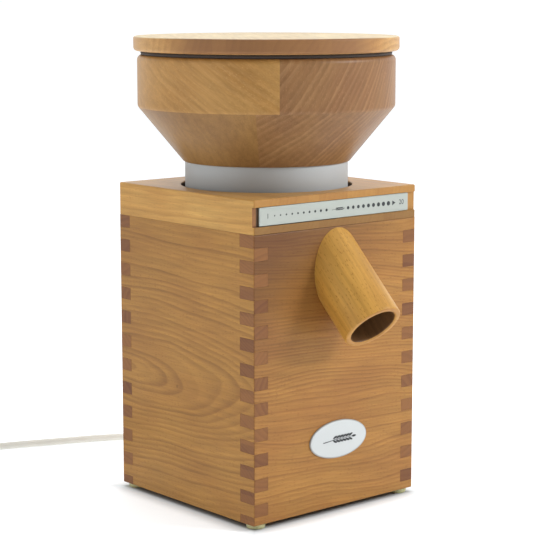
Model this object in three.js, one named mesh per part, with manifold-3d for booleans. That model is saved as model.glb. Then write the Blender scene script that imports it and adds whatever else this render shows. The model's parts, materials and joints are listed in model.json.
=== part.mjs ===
// Electric grain mill: a finger-jointed wooden cabinet, a turned hopper that screws down over a pair
// of grinding stones, an induction motor hung below them, and a mains lead put away in a coil.
// Millimetres, +Z up. The front faces -Y, and the origin is on the table under the middle of the mill.
import * as THREE from "three";
import { mergeVertices } from "three/addons/utils/BufferGeometryUtils.js";
import Module from "manifold-3d";

const wasm = await Module();
wasm.setup();

// ---- Driving dimensions -------------------------------------------------------------------------

const GLUE_GAP = 0.1; // between glued or screwed faces
const GAP = 0.3; // between pieces that touch along a curve
const FINE = 40; // sides of the large turned pieces
const COARSE = 16; // sides of the small ones

// Cabinet
const CABINET = 174; // width and depth
const HALF = CABINET / 2;
const BOARD = 14; // back and side boards
const FRONT_BOARD = 17;
const BOARD_HEIGHT = 230;
const FINGER = 10.14; // height of one finger of a corner joint; the lowest takes what is left
const FINGERS = 23; // fingers up a corner: the front and back boards own the even ones
const FOOT_HEIGHT = 4;
const FOOT_RADIUS = 8;
const FOOT_INSET = 9;
const BOX_BOTTOM = FOOT_HEIGHT;
const BOX_TOP = BOX_BOTTOM + BOARD_HEIGHT;
const BASE_THICKNESS = 9;
const TOP_THICKNESS = 27;
const TOP_HOLE_RADIUS = 70.7;
const TOP_Z = BOX_TOP + TOP_THICKNESS;
const INNER_FRONT = -HALF + FRONT_BOARD;
const INNER_BACK = HALF - BOARD;
const INNER_SIDE = HALF - BOARD;

// Groove and scale along the front edge of the top, and the badge below them
const GROOVE = { low: BOX_TOP + 6, high: BOX_TOP + 21.2, depth: 2 };
const SCALE = { left: -81.1, right: 78.7, height: 14.4, thickness: 1.3 };
const BADGE = { x: 1.2, z: BOX_BOTTOM + 56.5, width: 61.6, height: 31, thickness: 1.3 };

// Spout: a slanting tube on the front board
const SPOUT_TILT = THREE.MathUtils.degToRad(44.4); // below the horizontal
const SPOUT_RADIUS = 24.6;
const SPOUT_BORE = 19.4;
const SPOUT_LENGTH = 58.3; // from the front board to the mouth, on the axis
const SPOUT_RIM = 1.5; // rounding of the mouth
const SPOUT_Z = BOX_BOTTOM + 194.6; // where the axis meets the front board
const PASSAGE_RADIUS = 12; // hole through the front board behind it
const PASSAGE_Z = BOX_BOTTOM + 184;

// Hopper
const COLLAR_RADIUS = 67.2;
const COLLAR_TOP = TOP_Z + 19.5;
const BOWL_BASE_RADIUS = 68.8;
const BOWL_RADIUS = 105.7;
const BOWL_WALL = 11.7;
const BOWL_KINK = COLLAR_TOP + 45;
const BOWL_RIM = COLLAR_TOP + 86.5;
const SEAL_RADIUS = 102.9;
const SEAL_HEIGHT = 3.2;
const LID_RADIUS = 108.6;
const LID_THICKNESS = 11.8;
const FUNNEL_RADIUS = 52.8; // where the bowl's inside meets the feed funnel
const THROAT_RADIUS = 17;

// Grinding stones and the chamber round them
const STONE_RADIUS = 42.5;
const STONE_GAP = 0.6; // between the stones, at a middling setting
const STONE_PLANE = 214; // top of the lower stone
const CHAMBER_FLOOR = 190;
const CHAMBER_BORE = 54.5;
const THREAD_RADIUS = 59.8; // of the collar's skirt, in the chamber's threaded ring
const THREAD_BOTTOM = 222;
const FLANGE_TOP = BOX_TOP - GLUE_GAP * 3;
const FLANGE_BOTTOM = FLANGE_TOP - 4.7;
const POST_OFFSET = 60; // of the hanging posts, from the mill's axis

// Motor
const MOTOR_PLATE = { low: 172, high: 175, width: 138 };
const MOTOR_RADIUS = 54;
const STATOR = { low: 92, high: 134, bore: 32.5 };
const BEARING = { radius: 11, height: 7 };
const SHAFT_RADIUS = 6;

// Mains lead: 1.5 m, laid to the left behind the mill, the rest in a coil
const CORD = 6.2; // diameter
const CORD_EXIT = new THREE.Vector3(45, HALF + 33, 34); // tip of the strain relief
const COIL_CENTRE = new THREE.Vector2(-180, 230);
const COIL_INNER_TURN = 31.9; // radius of the inner and the outer column of turns
const COIL_OUTER_TURN = 38.3;
const COIL_LAYERS = 3;
const COIL_BASE = 1.1; // thickness of the tie under it
const PLUG_RADIUS = 18.5;

// The spout reaches further forwards than the lid does backwards, and the origin is midway.
const SPOUT_REACH =
  HALF +
  (SPOUT_LENGTH - SPOUT_RIM) * Math.cos(SPOUT_TILT) +
  (SPOUT_RADIUS - SPOUT_RIM) * Math.sin(SPOUT_TILT) +
  SPOUT_RIM;
const AXIS_Y = (SPOUT_REACH - LID_RADIUS) / 2;

// ---- Materials ----------------------------------------------------------------------------------

const finish = (color, roughness, metalness = 0) =>
  new THREE.MeshStandardMaterial({ color, roughness, metalness });

const BEECH = finish(0xc08a52, 0.5);
const SPOUT_BEECH = finish(0xd0a05a, 0.5);
const LID_BEECH = finish(0xd9b283, 0.5);
const PLYWOOD = finish(0xb99b73, 0.7);
const ALUMINIUM = finish(0xb4b8bb, 0.35, 1);
const STEEL = finish(0x8d9095, 0.4, 1);
const LAMINATION = finish(0x5f6266, 0.6, 0.8);
const COPPER = finish(0xa5562f, 0.45, 0.7);
const BRASS = finish(0xb39455, 0.35, 1);
const CORUNDUM = finish(0xd8d2c6, 0.9);
const BLACK_PLASTIC = finish(0x1c1c1e, 0.5);
const GREY_PLASTIC = finish(0x55585b, 0.5);
const PALE_PLASTIC = finish(0xc9c8c0, 0.5);
const FOOT_RUBBER = finish(0xb9c2a6, 0.6);
const SEAL_RUBBER = finish(0x231d1a, 0.7);
const FELT = finish(0x6f6a62, 0.95);

// ---- Shapes -------------------------------------------------------------------------------------

// A closed geometry as a solid that can be joined and cut.
function solid(geometry) {
  const bare = geometry.index ? geometry.toNonIndexed() : geometry.clone();
  bare.deleteAttribute("normal");
  bare.deleteAttribute("uv");
  const merged = mergeVertices(bare, 1e-4);
  return new wasm.Manifold(
    new wasm.Mesh({
      numProp: 3,
      vertProperties: merged.attributes.position.array,
      triVerts: new Uint32Array(merged.index.array),
    }),
  );
}

function geometryOf(body) {
  const mesh = body.getMesh();
  const geometry = new THREE.BufferGeometry();
  geometry.setAttribute("position", new THREE.BufferAttribute(mesh.vertProperties, 3));
  geometry.setIndex(new THREE.BufferAttribute(mesh.triVerts, 1));
  return geometry;
}

const join = (...pieces) => geometryOf(pieces.map(solid).reduce((whole, piece) => whole.add(piece)));

const cut = (piece, ...tools) =>
  geometryOf(tools.map(solid).reduce((rest, tool) => rest.subtract(tool), solid(piece)));

// A box between two x, two y and two z.
function block([x0, x1], [y0, y1], [z0, z1]) {
  const box = new THREE.BoxGeometry(x1 - x0, y1 - y0, z1 - z0);
  return box.translate((x0 + x1) / 2, (y0 + y1) / 2, (z0 + z1) / 2);
}

// Rounds the corners of an outline of [x, y, radius] points, with arcs of a few chords.
function rounded(outline, closed, chords = 2) {
  const points = [];
  outline.forEach(([x, y, radius = 0], i) => {
    const corner = new THREE.Vector2(x, y);
    const ends = closed || (i > 0 && i < outline.length - 1);
    if (!radius || !ends) {
      points.push(corner);
      return;
    }
    const before = new THREE.Vector2(...outline.at(i - 1).slice(0, 2)).sub(corner).normalize();
    const after = new THREE.Vector2(...outline[(i + 1) % outline.length].slice(0, 2));
    after.sub(corner).normalize();
    const half = Math.acos(THREE.MathUtils.clamp(before.dot(after), -1, 1)) / 2;
    const inward = before.clone().add(after).normalize();
    const centre = corner.clone().addScaledVector(inward, radius / Math.sin(half));
    const from = corner.clone().addScaledVector(before, radius / Math.tan(half)).sub(centre);
    const turn = (Math.PI - 2 * half) * Math.sign(after.cross(before));
    for (let k = 0; k <= chords; k++) {
      const spoke = from.clone().rotateAround(new THREE.Vector2(), (turn * k) / chords);
      points.push(spoke.add(centre));
    }
  });
  return points;
}

// Turned round +Z from [radius, z, rounding] points. It starts and ends on the axis, going up the
// outside, unless it is a ring, whose profile closes on itself counter-clockwise.
function turned(profile, sides = COARSE, isRing = false) {
  const points = rounded(profile, isRing);
  if (isRing) points.push(points[0].clone());
  return new THREE.LatheGeometry(points, sides).rotateX(Math.PI / 2);
}

const ring = (profile, sides = COARSE) => turned(profile, sides, true);

// A round bar along Z.
function rod(radius, z0, z1, sides = COARSE, x = 0, y = 0) {
  const bar = new THREE.CylinderGeometry(radius, radius, z1 - z0, sides).rotateX(Math.PI / 2);
  return bar.translate(x, y, (z0 + z1) / 2);
}

function roundedSquare(width, depth, radius) {
  const [x, y] = [width / 2, depth / 2];
  const corners = [
    [-x, -y, radius],
    [x, -y, radius],
    [x, y, radius],
    [-x, y, radius],
  ];
  return new THREE.Shape(rounded(corners, true));
}

// A flat plate from an outline in X and Y.
function plate(shape, z0, z1) {
  const body = new THREE.ExtrudeGeometry(shape, { depth: z1 - z0, bevelEnabled: false });
  return body.translate(0, 0, z0);
}

// Four places, one near each corner.
const corners = (offset) => [
  [-offset, -offset],
  [offset, -offset],
  [offset, offset],
  [-offset, offset],
];

// ---- Cabinet ------------------------------------------------------------------------------------

// Height at which a finger starts, counted down from the top of the boards.
const fingerLevel = (level) => Math.max(BOX_BOTTOM, BOX_TOP - (FINGERS - level) * FINGER);

// A board standing on edge, with fingers at both ends, as an outline along U and up Z that is
// extruded by the board's thickness towards -V.
function fingerBoard({ low, high, thickness, ownsEven }) {
  const edge = (inner, outer) => {
    const points = [];
    for (let level = 0; level < FINGERS; level++) {
      const own = (level % 2 === 0) === ownsEven;
      const reach = own ? outer : inner;
      const trim = own ? GLUE_GAP / 2 : -GLUE_GAP / 2;
      const below = level === 0 ? 0 : trim;
      const above = level === FINGERS - 1 ? 0 : trim;
      points.push([reach, fingerLevel(level) + below]);
      points.push([reach, fingerLevel(level + 1) - above]);
    }
    return points;
  };
  const outline = [...edge(...high), ...edge(...low).reverse()];
  const shape = new THREE.Shape(outline.map(([u, z]) => new THREE.Vector2(u, z)));
  const board = new THREE.ExtrudeGeometry(shape, { depth: thickness, bevelEnabled: false });
  return board.rotateX(Math.PI / 2);
}

const crossBoard = (thickness) =>
  fingerBoard({
    low: [-INNER_SIDE + GLUE_GAP, -HALF],
    high: [INNER_SIDE - GLUE_GAP, HALF],
    thickness,
    ownsEven: true,
  });

const sideBoard = () =>
  fingerBoard({
    low: [INNER_FRONT + GLUE_GAP, -HALF],
    high: [INNER_BACK - GLUE_GAP, HALF],
    thickness: BOARD,
    ownsEven: false,
  }).rotateZ(Math.PI / 2);

// Turns a piece made round +Z to run down the spout's axis, from a height on the front board.
function downSpout(piece, z) {
  return piece.rotateX(Math.PI / 2 + SPOUT_TILT).translate(0, -HALF, z);
}

function frontBoard() {
  const passage = downSpout(rod(PASSAGE_RADIUS, -60, 60), PASSAGE_Z);
  return cut(crossBoard(FRONT_BOARD).translate(0, INNER_FRONT, 0), passage);
}

const SWITCH = { x: -40, z: 150, width: 27, height: 20, flange: 3, proud: 2 };
const GLAND = { bore: 7.2, shank: 6.8, flange: 9.5, thickness: 2.6 };

function backBoard() {
  const glandHole = rod(GLAND.bore, -30, 30, 24).rotateX(Math.PI / 2);
  glandHole.translate(CORD_EXIT.x, HALF - BOARD / 2, CORD_EXIT.z);
  const { x, z, width, height } = SWITCH;
  const switchHole = block(
    [x - width / 2, x + width / 2],
    [INNER_BACK - 5, HALF + 5],
    [z - height / 2, z + height / 2],
  );
  return cut(crossBoard(BOARD).translate(0, HALF, 0), glandHole, switchHole);
}

function topPlate() {
  const shape = roundedSquare(CABINET, CABINET, 1.5);
  const hole = new THREE.Path().absarc(0, 0, TOP_HOLE_RADIUS, 0, 2 * Math.PI);
  shape.holes.push(hole);
  const slab = new THREE.ExtrudeGeometry(shape, {
    depth: TOP_THICKNESS - GLUE_GAP,
    bevelEnabled: false,
    curveSegments: FINE,
  }).translate(0, 0, BOX_TOP + GLUE_GAP);
  const groove = block(
    [-HALF - 1, HALF + 1],
    [-HALF - 1, -HALF + GROOVE.depth],
    [GROOVE.low, GROOVE.high],
  );
  const studHoles = corners(POST_OFFSET).map(([x, y]) => rod(3.4, BOX_TOP - 5, BOX_TOP + 14, 12, x, y));
  return cut(slab, groove, ...studHoles);
}

// Closes the box from below, with rows of slots for the motor's cooling air.
function basePlate() {
  const width = 2 * INNER_SIDE - 2 * GAP;
  const depth = INNER_BACK - INNER_FRONT - 2 * GAP;
  const shape = roundedSquare(width, depth, 1);
  for (let row = -3; row <= 3; row++) {
    const slot = roundedSquare(70, 5, 2.4).getPoints();
    shape.holes.push(new THREE.Path(slot.map((p) => p.clone().add(new THREE.Vector2(0, row * 11)))));
  }
  const middle = (INNER_BACK + INNER_FRONT) / 2;
  return plate(shape, BOX_BOTTOM, BOX_BOTTOM + BASE_THICKNESS).translate(0, middle, 0);
}

const foot = () =>
  turned([
    [0, 0],
    [FOOT_RADIUS, 0, 0.8],
    [FOOT_RADIUS - 0.8, FOOT_HEIGHT - GLUE_GAP],
    [0, FOOT_HEIGHT - GLUE_GAP],
  ], 16);

function scaleStrip() {
  const middle = (GROOVE.low + GROOVE.high) / 2;
  const back = -HALF + GROOVE.depth - GLUE_GAP;
  return block(
    [SCALE.left, SCALE.right],
    [back - SCALE.thickness, back],
    [middle - SCALE.height / 2, middle + SCALE.height / 2],
  );
}

function badge() {
  const oval = new THREE.Shape().absellipse(0, 0, BADGE.width / 2, BADGE.height / 2, 0, 2 * Math.PI);
  const body = new THREE.ExtrudeGeometry(oval, {
    depth: BADGE.thickness,
    bevelEnabled: false,
    curveSegments: 12,
  });
  return body.rotateX(Math.PI / 2).translate(BADGE.x, -HALF - GLUE_GAP, BADGE.z);
}

// A straight tube, its root cut off upright where it is glued to the front board.
function spout() {
  const tube = ring([
    [SPOUT_BORE, -30],
    [SPOUT_RADIUS, -30],
    [SPOUT_RADIUS, SPOUT_LENGTH, SPOUT_RIM],
    [SPOUT_BORE, SPOUT_LENGTH, SPOUT_RIM],
  ]);
  const boardSide = block([-60, 60], [-HALF - GAP, HALF], [0, 400]);
  return cut(downSpout(tube, SPOUT_Z), boardSide);
}

// ---- Stones and chamber -------------------------------------------------------------------------

// Cup round the stones: a threaded ring above for the hopper's collar, a flange that hangs it under
// the top, a hole for the shaft and a duct to the passage in the front board.
function millingChamber() {
  const outside = turned([
    [0, CHAMBER_FLOOR - 4],
    [60, CHAMBER_FLOOR - 4],
    [60, THREAD_BOTTOM - 7],
    [64.5, THREAD_BOTTOM - 2],
    [64.5, FLANGE_TOP - 1],
    [0, FLANGE_TOP - 1],
  ], FINE);
  const flange = plate(roundedSquare(138, 138, 8), FLANGE_BOTTOM, FLANGE_TOP);
  const duct = block([-19, 19], [INNER_FRONT + GAP, -50], [CHAMBER_FLOOR - 4, 214]);
  const inside = turned([
    [0, CHAMBER_FLOOR],
    [CHAMBER_BORE, CHAMBER_FLOOR],
    [CHAMBER_BORE, THREAD_BOTTOM - 0.7],
    [THREAD_RADIUS + 0.4, THREAD_BOTTOM - 0.7],
    [THREAD_RADIUS + 0.4, BOX_TOP + 5],
    [0, BOX_TOP + 5],
  ], FINE);
  const shaftHole = rod(9.2, CHAMBER_FLOOR - 10, CHAMBER_FLOOR + 10);
  const channel = block([-15, 15], [INNER_FRONT - 5, -45], [CHAMBER_FLOOR, 210]);
  const studHoles = corners(POST_OFFSET).map(([x, y]) => rod(3.4, 220, 240, 12, x, y));
  return cut(join(outside, flange, duct), inside, shaftHole, channel, ...studHoles);
}

const shaftSeal = () =>
  ring([
    [SHAFT_RADIUS + GAP, CHAMBER_FLOOR - 3.9],
    [8.9, CHAMBER_FLOOR - 3.9],
    [8.9, CHAMBER_FLOOR - 0.1],
    [SHAFT_RADIUS + GAP, CHAMBER_FLOOR - 0.1],
  ]);

// Turns with the shaft and carries the lower stone.
const stoneCarrier = () =>
  ring([
    [5.1, CHAMBER_FLOOR + 1.5],
    [45, CHAMBER_FLOOR + 1.5],
    [45, CHAMBER_FLOOR + 7.5],
    [7.2, CHAMBER_FLOOR + 7.5],
    [7.2, CHAMBER_FLOOR + 14.7],
    [5.1, CHAMBER_FLOOR + 14.7],
  ]);

const lowerStone = () =>
  ring([
    [7.6, CHAMBER_FLOOR + 7.8],
    [STONE_RADIUS, CHAMBER_FLOOR + 7.8],
    [STONE_RADIUS, STONE_PLANE],
    [34, STONE_PLANE],
    [13, CHAMBER_FLOOR + 15],
    [7.6, CHAMBER_FLOOR + 15],
  ], 24);

const upperStone = () =>
  ring([
    [34, STONE_PLANE + STONE_GAP],
    [STONE_RADIUS, STONE_PLANE + STONE_GAP],
    [STONE_RADIUS, STONE_PLANE + 14.7],
    [15, STONE_PLANE + 14.7],
    [15, STONE_PLANE + 8],
  ], 24);

// A paddle on the carrier's rim that pushes the meal round to the duct.
function sweeper(angle) {
  const arm = block([45.3, 53], [-5, 5], [CHAMBER_FLOOR + 1.5, CHAMBER_FLOOR + 20]);
  const slope = block([44, 54], [-12, 0], [-20, 20]).rotateX(-0.5);
  return cut(arm, slope.translate(0, -2, CHAMBER_FLOOR + 18)).rotateZ(angle);
}

function stoneNut() {
  const hexagon = rod(9, CHAMBER_FLOOR + 15.3, CHAMBER_FLOOR + 20.7, 6);
  return cut(hexagon, rod(5.1, CHAMBER_FLOOR, CHAMBER_FLOOR + 30, 16));
}

// Stirs the grain in the eye of the upper stone.
function feedAgitator() {
  const low = CHAMBER_FLOOR + 21.3;
  const hub = turned([
    [0, low],
    [5.5, low],
    [5.5, low + 14, 2],
    [0, low + 24],
  ], 16);
  const fins = [0, 1, 2].map((k) =>
    block([0, 11.5], [-1.2, 1.2], [low + 1, low + 11]).rotateZ((k * 2 * Math.PI) / 3),
  );
  return join(hub, ...fins);
}

// ---- Hopper -------------------------------------------------------------------------------------

function hopperBowl() {
  const slope = (BOWL_KINK - COLLAR_TOP) / (BOWL_RADIUS - BOWL_BASE_RADIUS);
  const innerRadius = BOWL_RADIUS - BOWL_WALL;
  const innerKink = COLLAR_TOP + (innerRadius - FUNNEL_RADIUS) * slope;
  return ring([
    [FUNNEL_RADIUS, COLLAR_TOP + GLUE_GAP],
    [BOWL_BASE_RADIUS, COLLAR_TOP + GLUE_GAP],
    [BOWL_RADIUS, BOWL_KINK, 5],
    [BOWL_RADIUS, BOWL_RIM, 4],
    [innerRadius, BOWL_RIM, 1.5],
    [innerRadius, innerKink, 8],
  ], FINE);
}

// Aluminium sleeve under the bowl. Its shoulder closes the hole in the top, its skirt carries the
// thread that sets the grind, and its inner shelf holds the upper stone's holder.
const collarRing = () =>
  ring([
    [THREAD_RADIUS - 5.8, THREAD_BOTTOM],
    [THREAD_RADIUS, THREAD_BOTTOM],
    [THREAD_RADIUS, THREAD_BOTTOM + 18],
    [COLLAR_RADIUS, THREAD_BOTTOM + 18],
    [COLLAR_RADIUS, COLLAR_TOP],
    [FUNNEL_RADIUS, COLLAR_TOP],
    [FUNNEL_RADIUS, COLLAR_TOP - 3.3],
    [COLLAR_RADIUS - 3.2, COLLAR_TOP - 3.3],
    [COLLAR_RADIUS - 3.2, THREAD_BOTTOM + 22],
    [THREAD_RADIUS, THREAD_BOTTOM + 19],
    [47, THREAD_BOTTOM + 19],
    [47, THREAD_BOTTOM + 13.3],
    [THREAD_RADIUS - 5.8, THREAD_BOTTOM + 13.3],
  ], FINE);

// Plate that the upper stone is set in, screwed up against the collar's shelf.
const stoneHolder = () =>
  ring([
    [THROAT_RADIUS + 3.4, STONE_PLANE + 15],
    [STONE_RADIUS + GAP, STONE_PLANE + 15],
    [STONE_RADIUS + GAP, STONE_PLANE + 3],
    [STONE_RADIUS + 4, STONE_PLANE + 3],
    [STONE_RADIUS + 4, STONE_PLANE + 15],
    [THREAD_RADIUS - 6.2, STONE_PLANE + 15],
    [THREAD_RADIUS - 6.2, STONE_PLANE + 21],
    [THROAT_RADIUS + 3.4, STONE_PLANE + 21],
  ], 32);

// Cone that leads the grain from the bowl down to the stone's eye.
const feedFunnel = () =>
  ring([
    [THROAT_RADIUS, STONE_PLANE + 17],
    [THROAT_RADIUS + 3, STONE_PLANE + 17],
    [THROAT_RADIUS + 3, STONE_PLANE + 36],
    [FUNNEL_RADIUS - GAP, COLLAR_TOP - 4],
    [FUNNEL_RADIUS - GAP, COLLAR_TOP - 0.2],
    [FUNNEL_RADIUS - 1.4, COLLAR_TOP - 0.2],
    [THROAT_RADIUS, STONE_PLANE + 38],
  ], 32);

// Ring with crossed bars that keeps fingers out of the throat.
function throatGuard() {
  const [low, high] = [STONE_PLANE + 28, STONE_PLANE + 30.5];
  const hoop = cut(rod(THROAT_RADIUS - GAP, low, high), rod(THROAT_RADIUS - 2.5, low - 1, high + 1));
  const bar = block([-THROAT_RADIUS + 1, THROAT_RADIUS - 1], [-1.1, 1.1], [low, high]);
  return join(hoop, bar, bar.clone().rotateZ(Math.PI / 2));
}

// Felt that keeps meal out of the gap round the collar. The shoulder carries it up and down.
const dustSeal = () =>
  ring([
    [THREAD_RADIUS + 0.7, THREAD_BOTTOM + 13.4],
    [COLLAR_RADIUS - 0.6, THREAD_BOTTOM + 13.4],
    [COLLAR_RADIUS - 0.6, THREAD_BOTTOM + 17.7],
    [THREAD_RADIUS + 0.7, THREAD_BOTTOM + 17.7],
  ], FINE);

const LID_BOTTOM = BOWL_RIM + SEAL_HEIGHT;
const LID_TOP = LID_BOTTOM + LID_THICKNESS;
const LID_BOSS = BOWL_RADIUS - BOWL_WALL - 1.5;

const lidSeal = () =>
  ring([
    [LID_BOSS + GAP, BOWL_RIM + GLUE_GAP],
    [SEAL_RADIUS, BOWL_RIM + GLUE_GAP],
    [SEAL_RADIUS, LID_BOTTOM - GLUE_GAP],
    [LID_BOSS + GAP, LID_BOTTOM - GLUE_GAP],
  ], FINE);

// Disc with a boss underneath that drops into the bowl.
const hopperLid = () =>
  turned([
    [0, LID_BOTTOM - 6],
    [LID_BOSS, LID_BOTTOM - 6, 1],
    [LID_BOSS, LID_BOTTOM],
    [LID_RADIUS, LID_BOTTOM, 3],
    [LID_RADIUS, LID_TOP, 1.2],
    [0, LID_TOP],
  ], FINE);

// ---- Motor --------------------------------------------------------------------------------------

// Stud into the top, shoulder under the chamber's flange, and a stud through the motor plate.
const hangingPost = () =>
  turned([
    [0, MOTOR_PLATE.low - 6],
    [3, MOTOR_PLATE.low - 6],
    [3, MOTOR_PLATE.high + GLUE_GAP],
    [5, MOTOR_PLATE.high + GLUE_GAP],
    [5, FLANGE_BOTTOM - GLUE_GAP],
    [3, FLANGE_BOTTOM - GLUE_GAP],
    [3, BOX_TOP + 12],
    [0, BOX_TOP + 12],
  ], 8);

function motorPlate() {
  const { low, high, width } = MOTOR_PLATE;
  const studHoles = corners(POST_OFFSET).map(([x, y]) => rod(3.4, low - 5, high + 5, 12, x, y));
  return cut(plate(roundedSquare(width, width, 8), low, high), rod(12, low - 5, high + 5), ...studHoles);
}

// One end bell, open towards the stator, drawn for the upper end.
function bellProfile() {
  const top = MOTOR_PLATE.low - GLUE_GAP;
  const open = STATOR.high + GLUE_GAP;
  return [
    [SHAFT_RADIUS + 1, top - 4],
    [BEARING.radius + 0.1, top - 4],
    [BEARING.radius + 0.1, top - 14],
    [16, top - 14],
    [16, top - 6],
    [MOTOR_RADIUS - 4, top - 6],
    [MOTOR_RADIUS - 4, open],
    [MOTOR_RADIUS, open],
    [MOTOR_RADIUS, top, 3],
    [SHAFT_RADIUS + 1, top],
  ];
}

// The same profile upside down, about the middle of the stator.
const flipped = (profile) => profile.map(([r, z, f]) => [r, STATOR.low + STATOR.high - z, f]).reverse();

const bearingProfile = [
  [SHAFT_RADIUS + GAP, MOTOR_PLATE.low - 4.3 - BEARING.height],
  [BEARING.radius, MOTOR_PLATE.low - 4.3 - BEARING.height],
  [BEARING.radius, MOTOR_PLATE.low - 4.3],
  [SHAFT_RADIUS + GAP, MOTOR_PLATE.low - 4.3],
];

const windingProfile = [
  [STATOR.bore + 2.5, STATOR.high + GLUE_GAP],
  [MOTOR_RADIUS - 6, STATOR.high + GLUE_GAP],
  [MOTOR_RADIUS - 6, STATOR.high + 15, 4],
  [STATOR.bore + 2.5, STATOR.high + 15, 4],
];

const stator = () =>
  ring([
    [STATOR.bore, STATOR.low],
    [MOTOR_RADIUS, STATOR.low],
    [MOTOR_RADIUS, STATOR.high],
    [STATOR.bore, STATOR.high],
  ], 24);

const rotor = () =>
  ring([
    [SHAFT_RADIUS + 2.2, STATOR.low],
    [STATOR.bore - 0.6, STATOR.low],
    [STATOR.bore - 0.6, STATOR.high],
    [SHAFT_RADIUS + 2.2, STATOR.high],
  ], 24);

const motorShaft = () =>
  turned([
    [0, 40],
    [5, 40],
    [5, 53],
    [SHAFT_RADIUS, 53],
    [SHAFT_RADIUS, 74],
    [SHAFT_RADIUS + 2, 74],
    [SHAFT_RADIUS + 2, 152],
    [SHAFT_RADIUS, 152],
    [SHAFT_RADIUS, CHAMBER_FLOOR + 1.3],
    [4.8, CHAMBER_FLOOR + 1.3],
    [4.8, CHAMBER_FLOOR + 21],
    [0, CHAMBER_FLOOR + 21],
  ], 16);

function coolingFan() {
  const blades = 8;
  const hub = rod(12, 42, 52, 24);
  const back = rod(44, 50, 52);
  const vanes = Array.from({ length: blades }, (_, k) =>
    block([10, 44], [-0.8, 0.8], [43, 51]).rotateZ((k * 2 * Math.PI) / blades),
  );
  return cut(join(hub, back, ...vanes), rod(5.2, 30, 60, 16));
}

// ---- Electrics ----------------------------------------------------------------------------------

const CAPACITOR = { x: -53.4, y: 53.4, radius: 17.5, low: 60, high: 130 };

const capacitor = () =>
  turned([
    [0, CAPACITOR.low],
    [CAPACITOR.radius, CAPACITOR.low, 1.5],
    [CAPACITOR.radius, CAPACITOR.high, 1.5],
    [0, CAPACITOR.high],
  ], 16).translate(CAPACITOR.x, CAPACITOR.y, 0);

const capacitorClip = () =>
  ring([
    [CAPACITOR.radius + GAP, 88],
    [CAPACITOR.radius + 1.6, 88],
    [CAPACITOR.radius + 1.6, 102],
    [CAPACITOR.radius + GAP, 102],
  ], 16).translate(CAPACITOR.x, CAPACITOR.y, 0);

// Block with a row of wire entries.
function terminalBlock() {
  const body = block([-12, 24], [58, INNER_BACK - GAP], [22, 36]);
  const entries = [0, 1, 2].map((k) => rod(2.4, 20, 30, 12, -6 + 12 * k, 65));
  return cut(body, ...entries);
}

// Frame of the rocker switch, let into the back board: a box open at the back of the mill.
function switchFrame() {
  const { x, z, width, height, flange, proud } = SWITCH;
  const centred = (w, y, h) => block([x - w / 2, x + w / 2], y, [z - h / 2, z + h / 2]);
  const lip = centred(width + 2 * flange, [HALF + GLUE_GAP, HALF + proud], height + 2 * flange);
  const body = centred(width - 0.6, [62, HALF + 1], height - 0.6);
  return cut(join(lip, body), centred(width - 4, [66, HALF + 5], height - 4));
}

// Rocker with two flats that meet at its pivot line, off with its lower half pressed out.
function switchRocker() {
  const half = SWITCH.height / 2 - 3.6;
  const outline = [
    [0, -7],
    [5, -1],
    [half, 0.4, 0.6],
    [half - 0.6, 2.9, 0.6],
    [0, 1.8],
    [-half, 5.2, 0.6],
    [-half, 2.4, 0.6],
    [-5, -1],
  ];
  const shape = new THREE.Shape(rounded(outline, true, 2));
  const width = SWITCH.width - 5;
  const body = new THREE.ExtrudeGeometry(shape, { depth: width, bevelEnabled: false });
  body.translate(0, 0, -width / 2);
  // The outline's X runs up the mill and its Y out of the back.
  body.applyMatrix4(new THREE.Matrix4().set(0, 0, 1, 0, 0, 1, 0, 0, -1, 0, 0, 0, 0, 0, 0, 1));
  return body.rotateY(Math.PI).translate(SWITCH.x, HALF - 3, SWITCH.z);
}

// Pieces round the lead's exit are turned round +Z and laid along +Y.
const alongExit = (piece) => piece.rotateX(-Math.PI / 2).translate(CORD_EXIT.x, 0, CORD_EXIT.z);

const cableGland = () =>
  alongExit(
    turned([
      [0, 64],
      [GLAND.shank, 64],
      [GLAND.shank, HALF + GLUE_GAP],
      [GLAND.flange, HALF + GLUE_GAP],
      [GLAND.flange, HALF + GLAND.thickness, 1],
      [0, HALF + GLAND.thickness],
    ], 16),
  );

const strainRelief = () =>
  alongExit(
    turned([
      [0, HALF + GLAND.thickness + GAP],
      [6.6, HALF + GLAND.thickness + GAP],
      [CORD / 2 + 0.9, CORD_EXIT.y],
      [0, CORD_EXIT.y],
    ], 16),
  );

// ---- Mains lead ---------------------------------------------------------------------------------

const CORD_ROUTE = [
  [45, 120.4, 34],
  [45, 132, 33.4],
  [44.6, 145, 29],
  [43, 158, 20.5],
  [39.8, 171, 11.5],
  [34.5, 184, 5.2],
  [26.5, 196, 3.2],
  [15, 207, 3.2],
  [0, 216.5, 3.2],
  [-17, 225, 3.2],
  [-36, 233, 3.2],
  [-56, 241, 3.2],
  [-77, 249.5, 3.2],
  [-98, 257.5, 3.2],
  [-119, 264, 3.5],
  [-139, 267.6, 4],
  [-156.5, 268.3, 4.3],
];
const TAIL_ROUTE = [
  [-218.3, 206.5, 16.7],
  [-218.3, 201, 16.9],
  [-218.3, 195, 17.6],
  [-218.3, 189.6, 18.3],
];

function cordTube(route, steps) {
  const curve = new THREE.CatmullRomCurve3(route.map((p) => new THREE.Vector3(...p)));
  const section = new THREE.Shape(
    Array.from({ length: 8 }, (_, k) => {
      const angle = (k * 2 * Math.PI) / 8;
      return new THREE.Vector2(Math.cos(angle), Math.sin(angle)).multiplyScalar(CORD / 2);
    }),
  );
  return new THREE.ExtrudeGeometry(section, { steps, bevelEnabled: false, extrudePath: curve });
}

// The outer shape of the coil: two columns of turns, three layers high.
const COIL_TOP = COIL_BASE + COIL_LAYERS * CORD;
const COIL_IN = COIL_INNER_TURN - CORD / 2 - GAP;
const COIL_OUT = COIL_OUTER_TURN + CORD / 2 + GAP;

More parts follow.
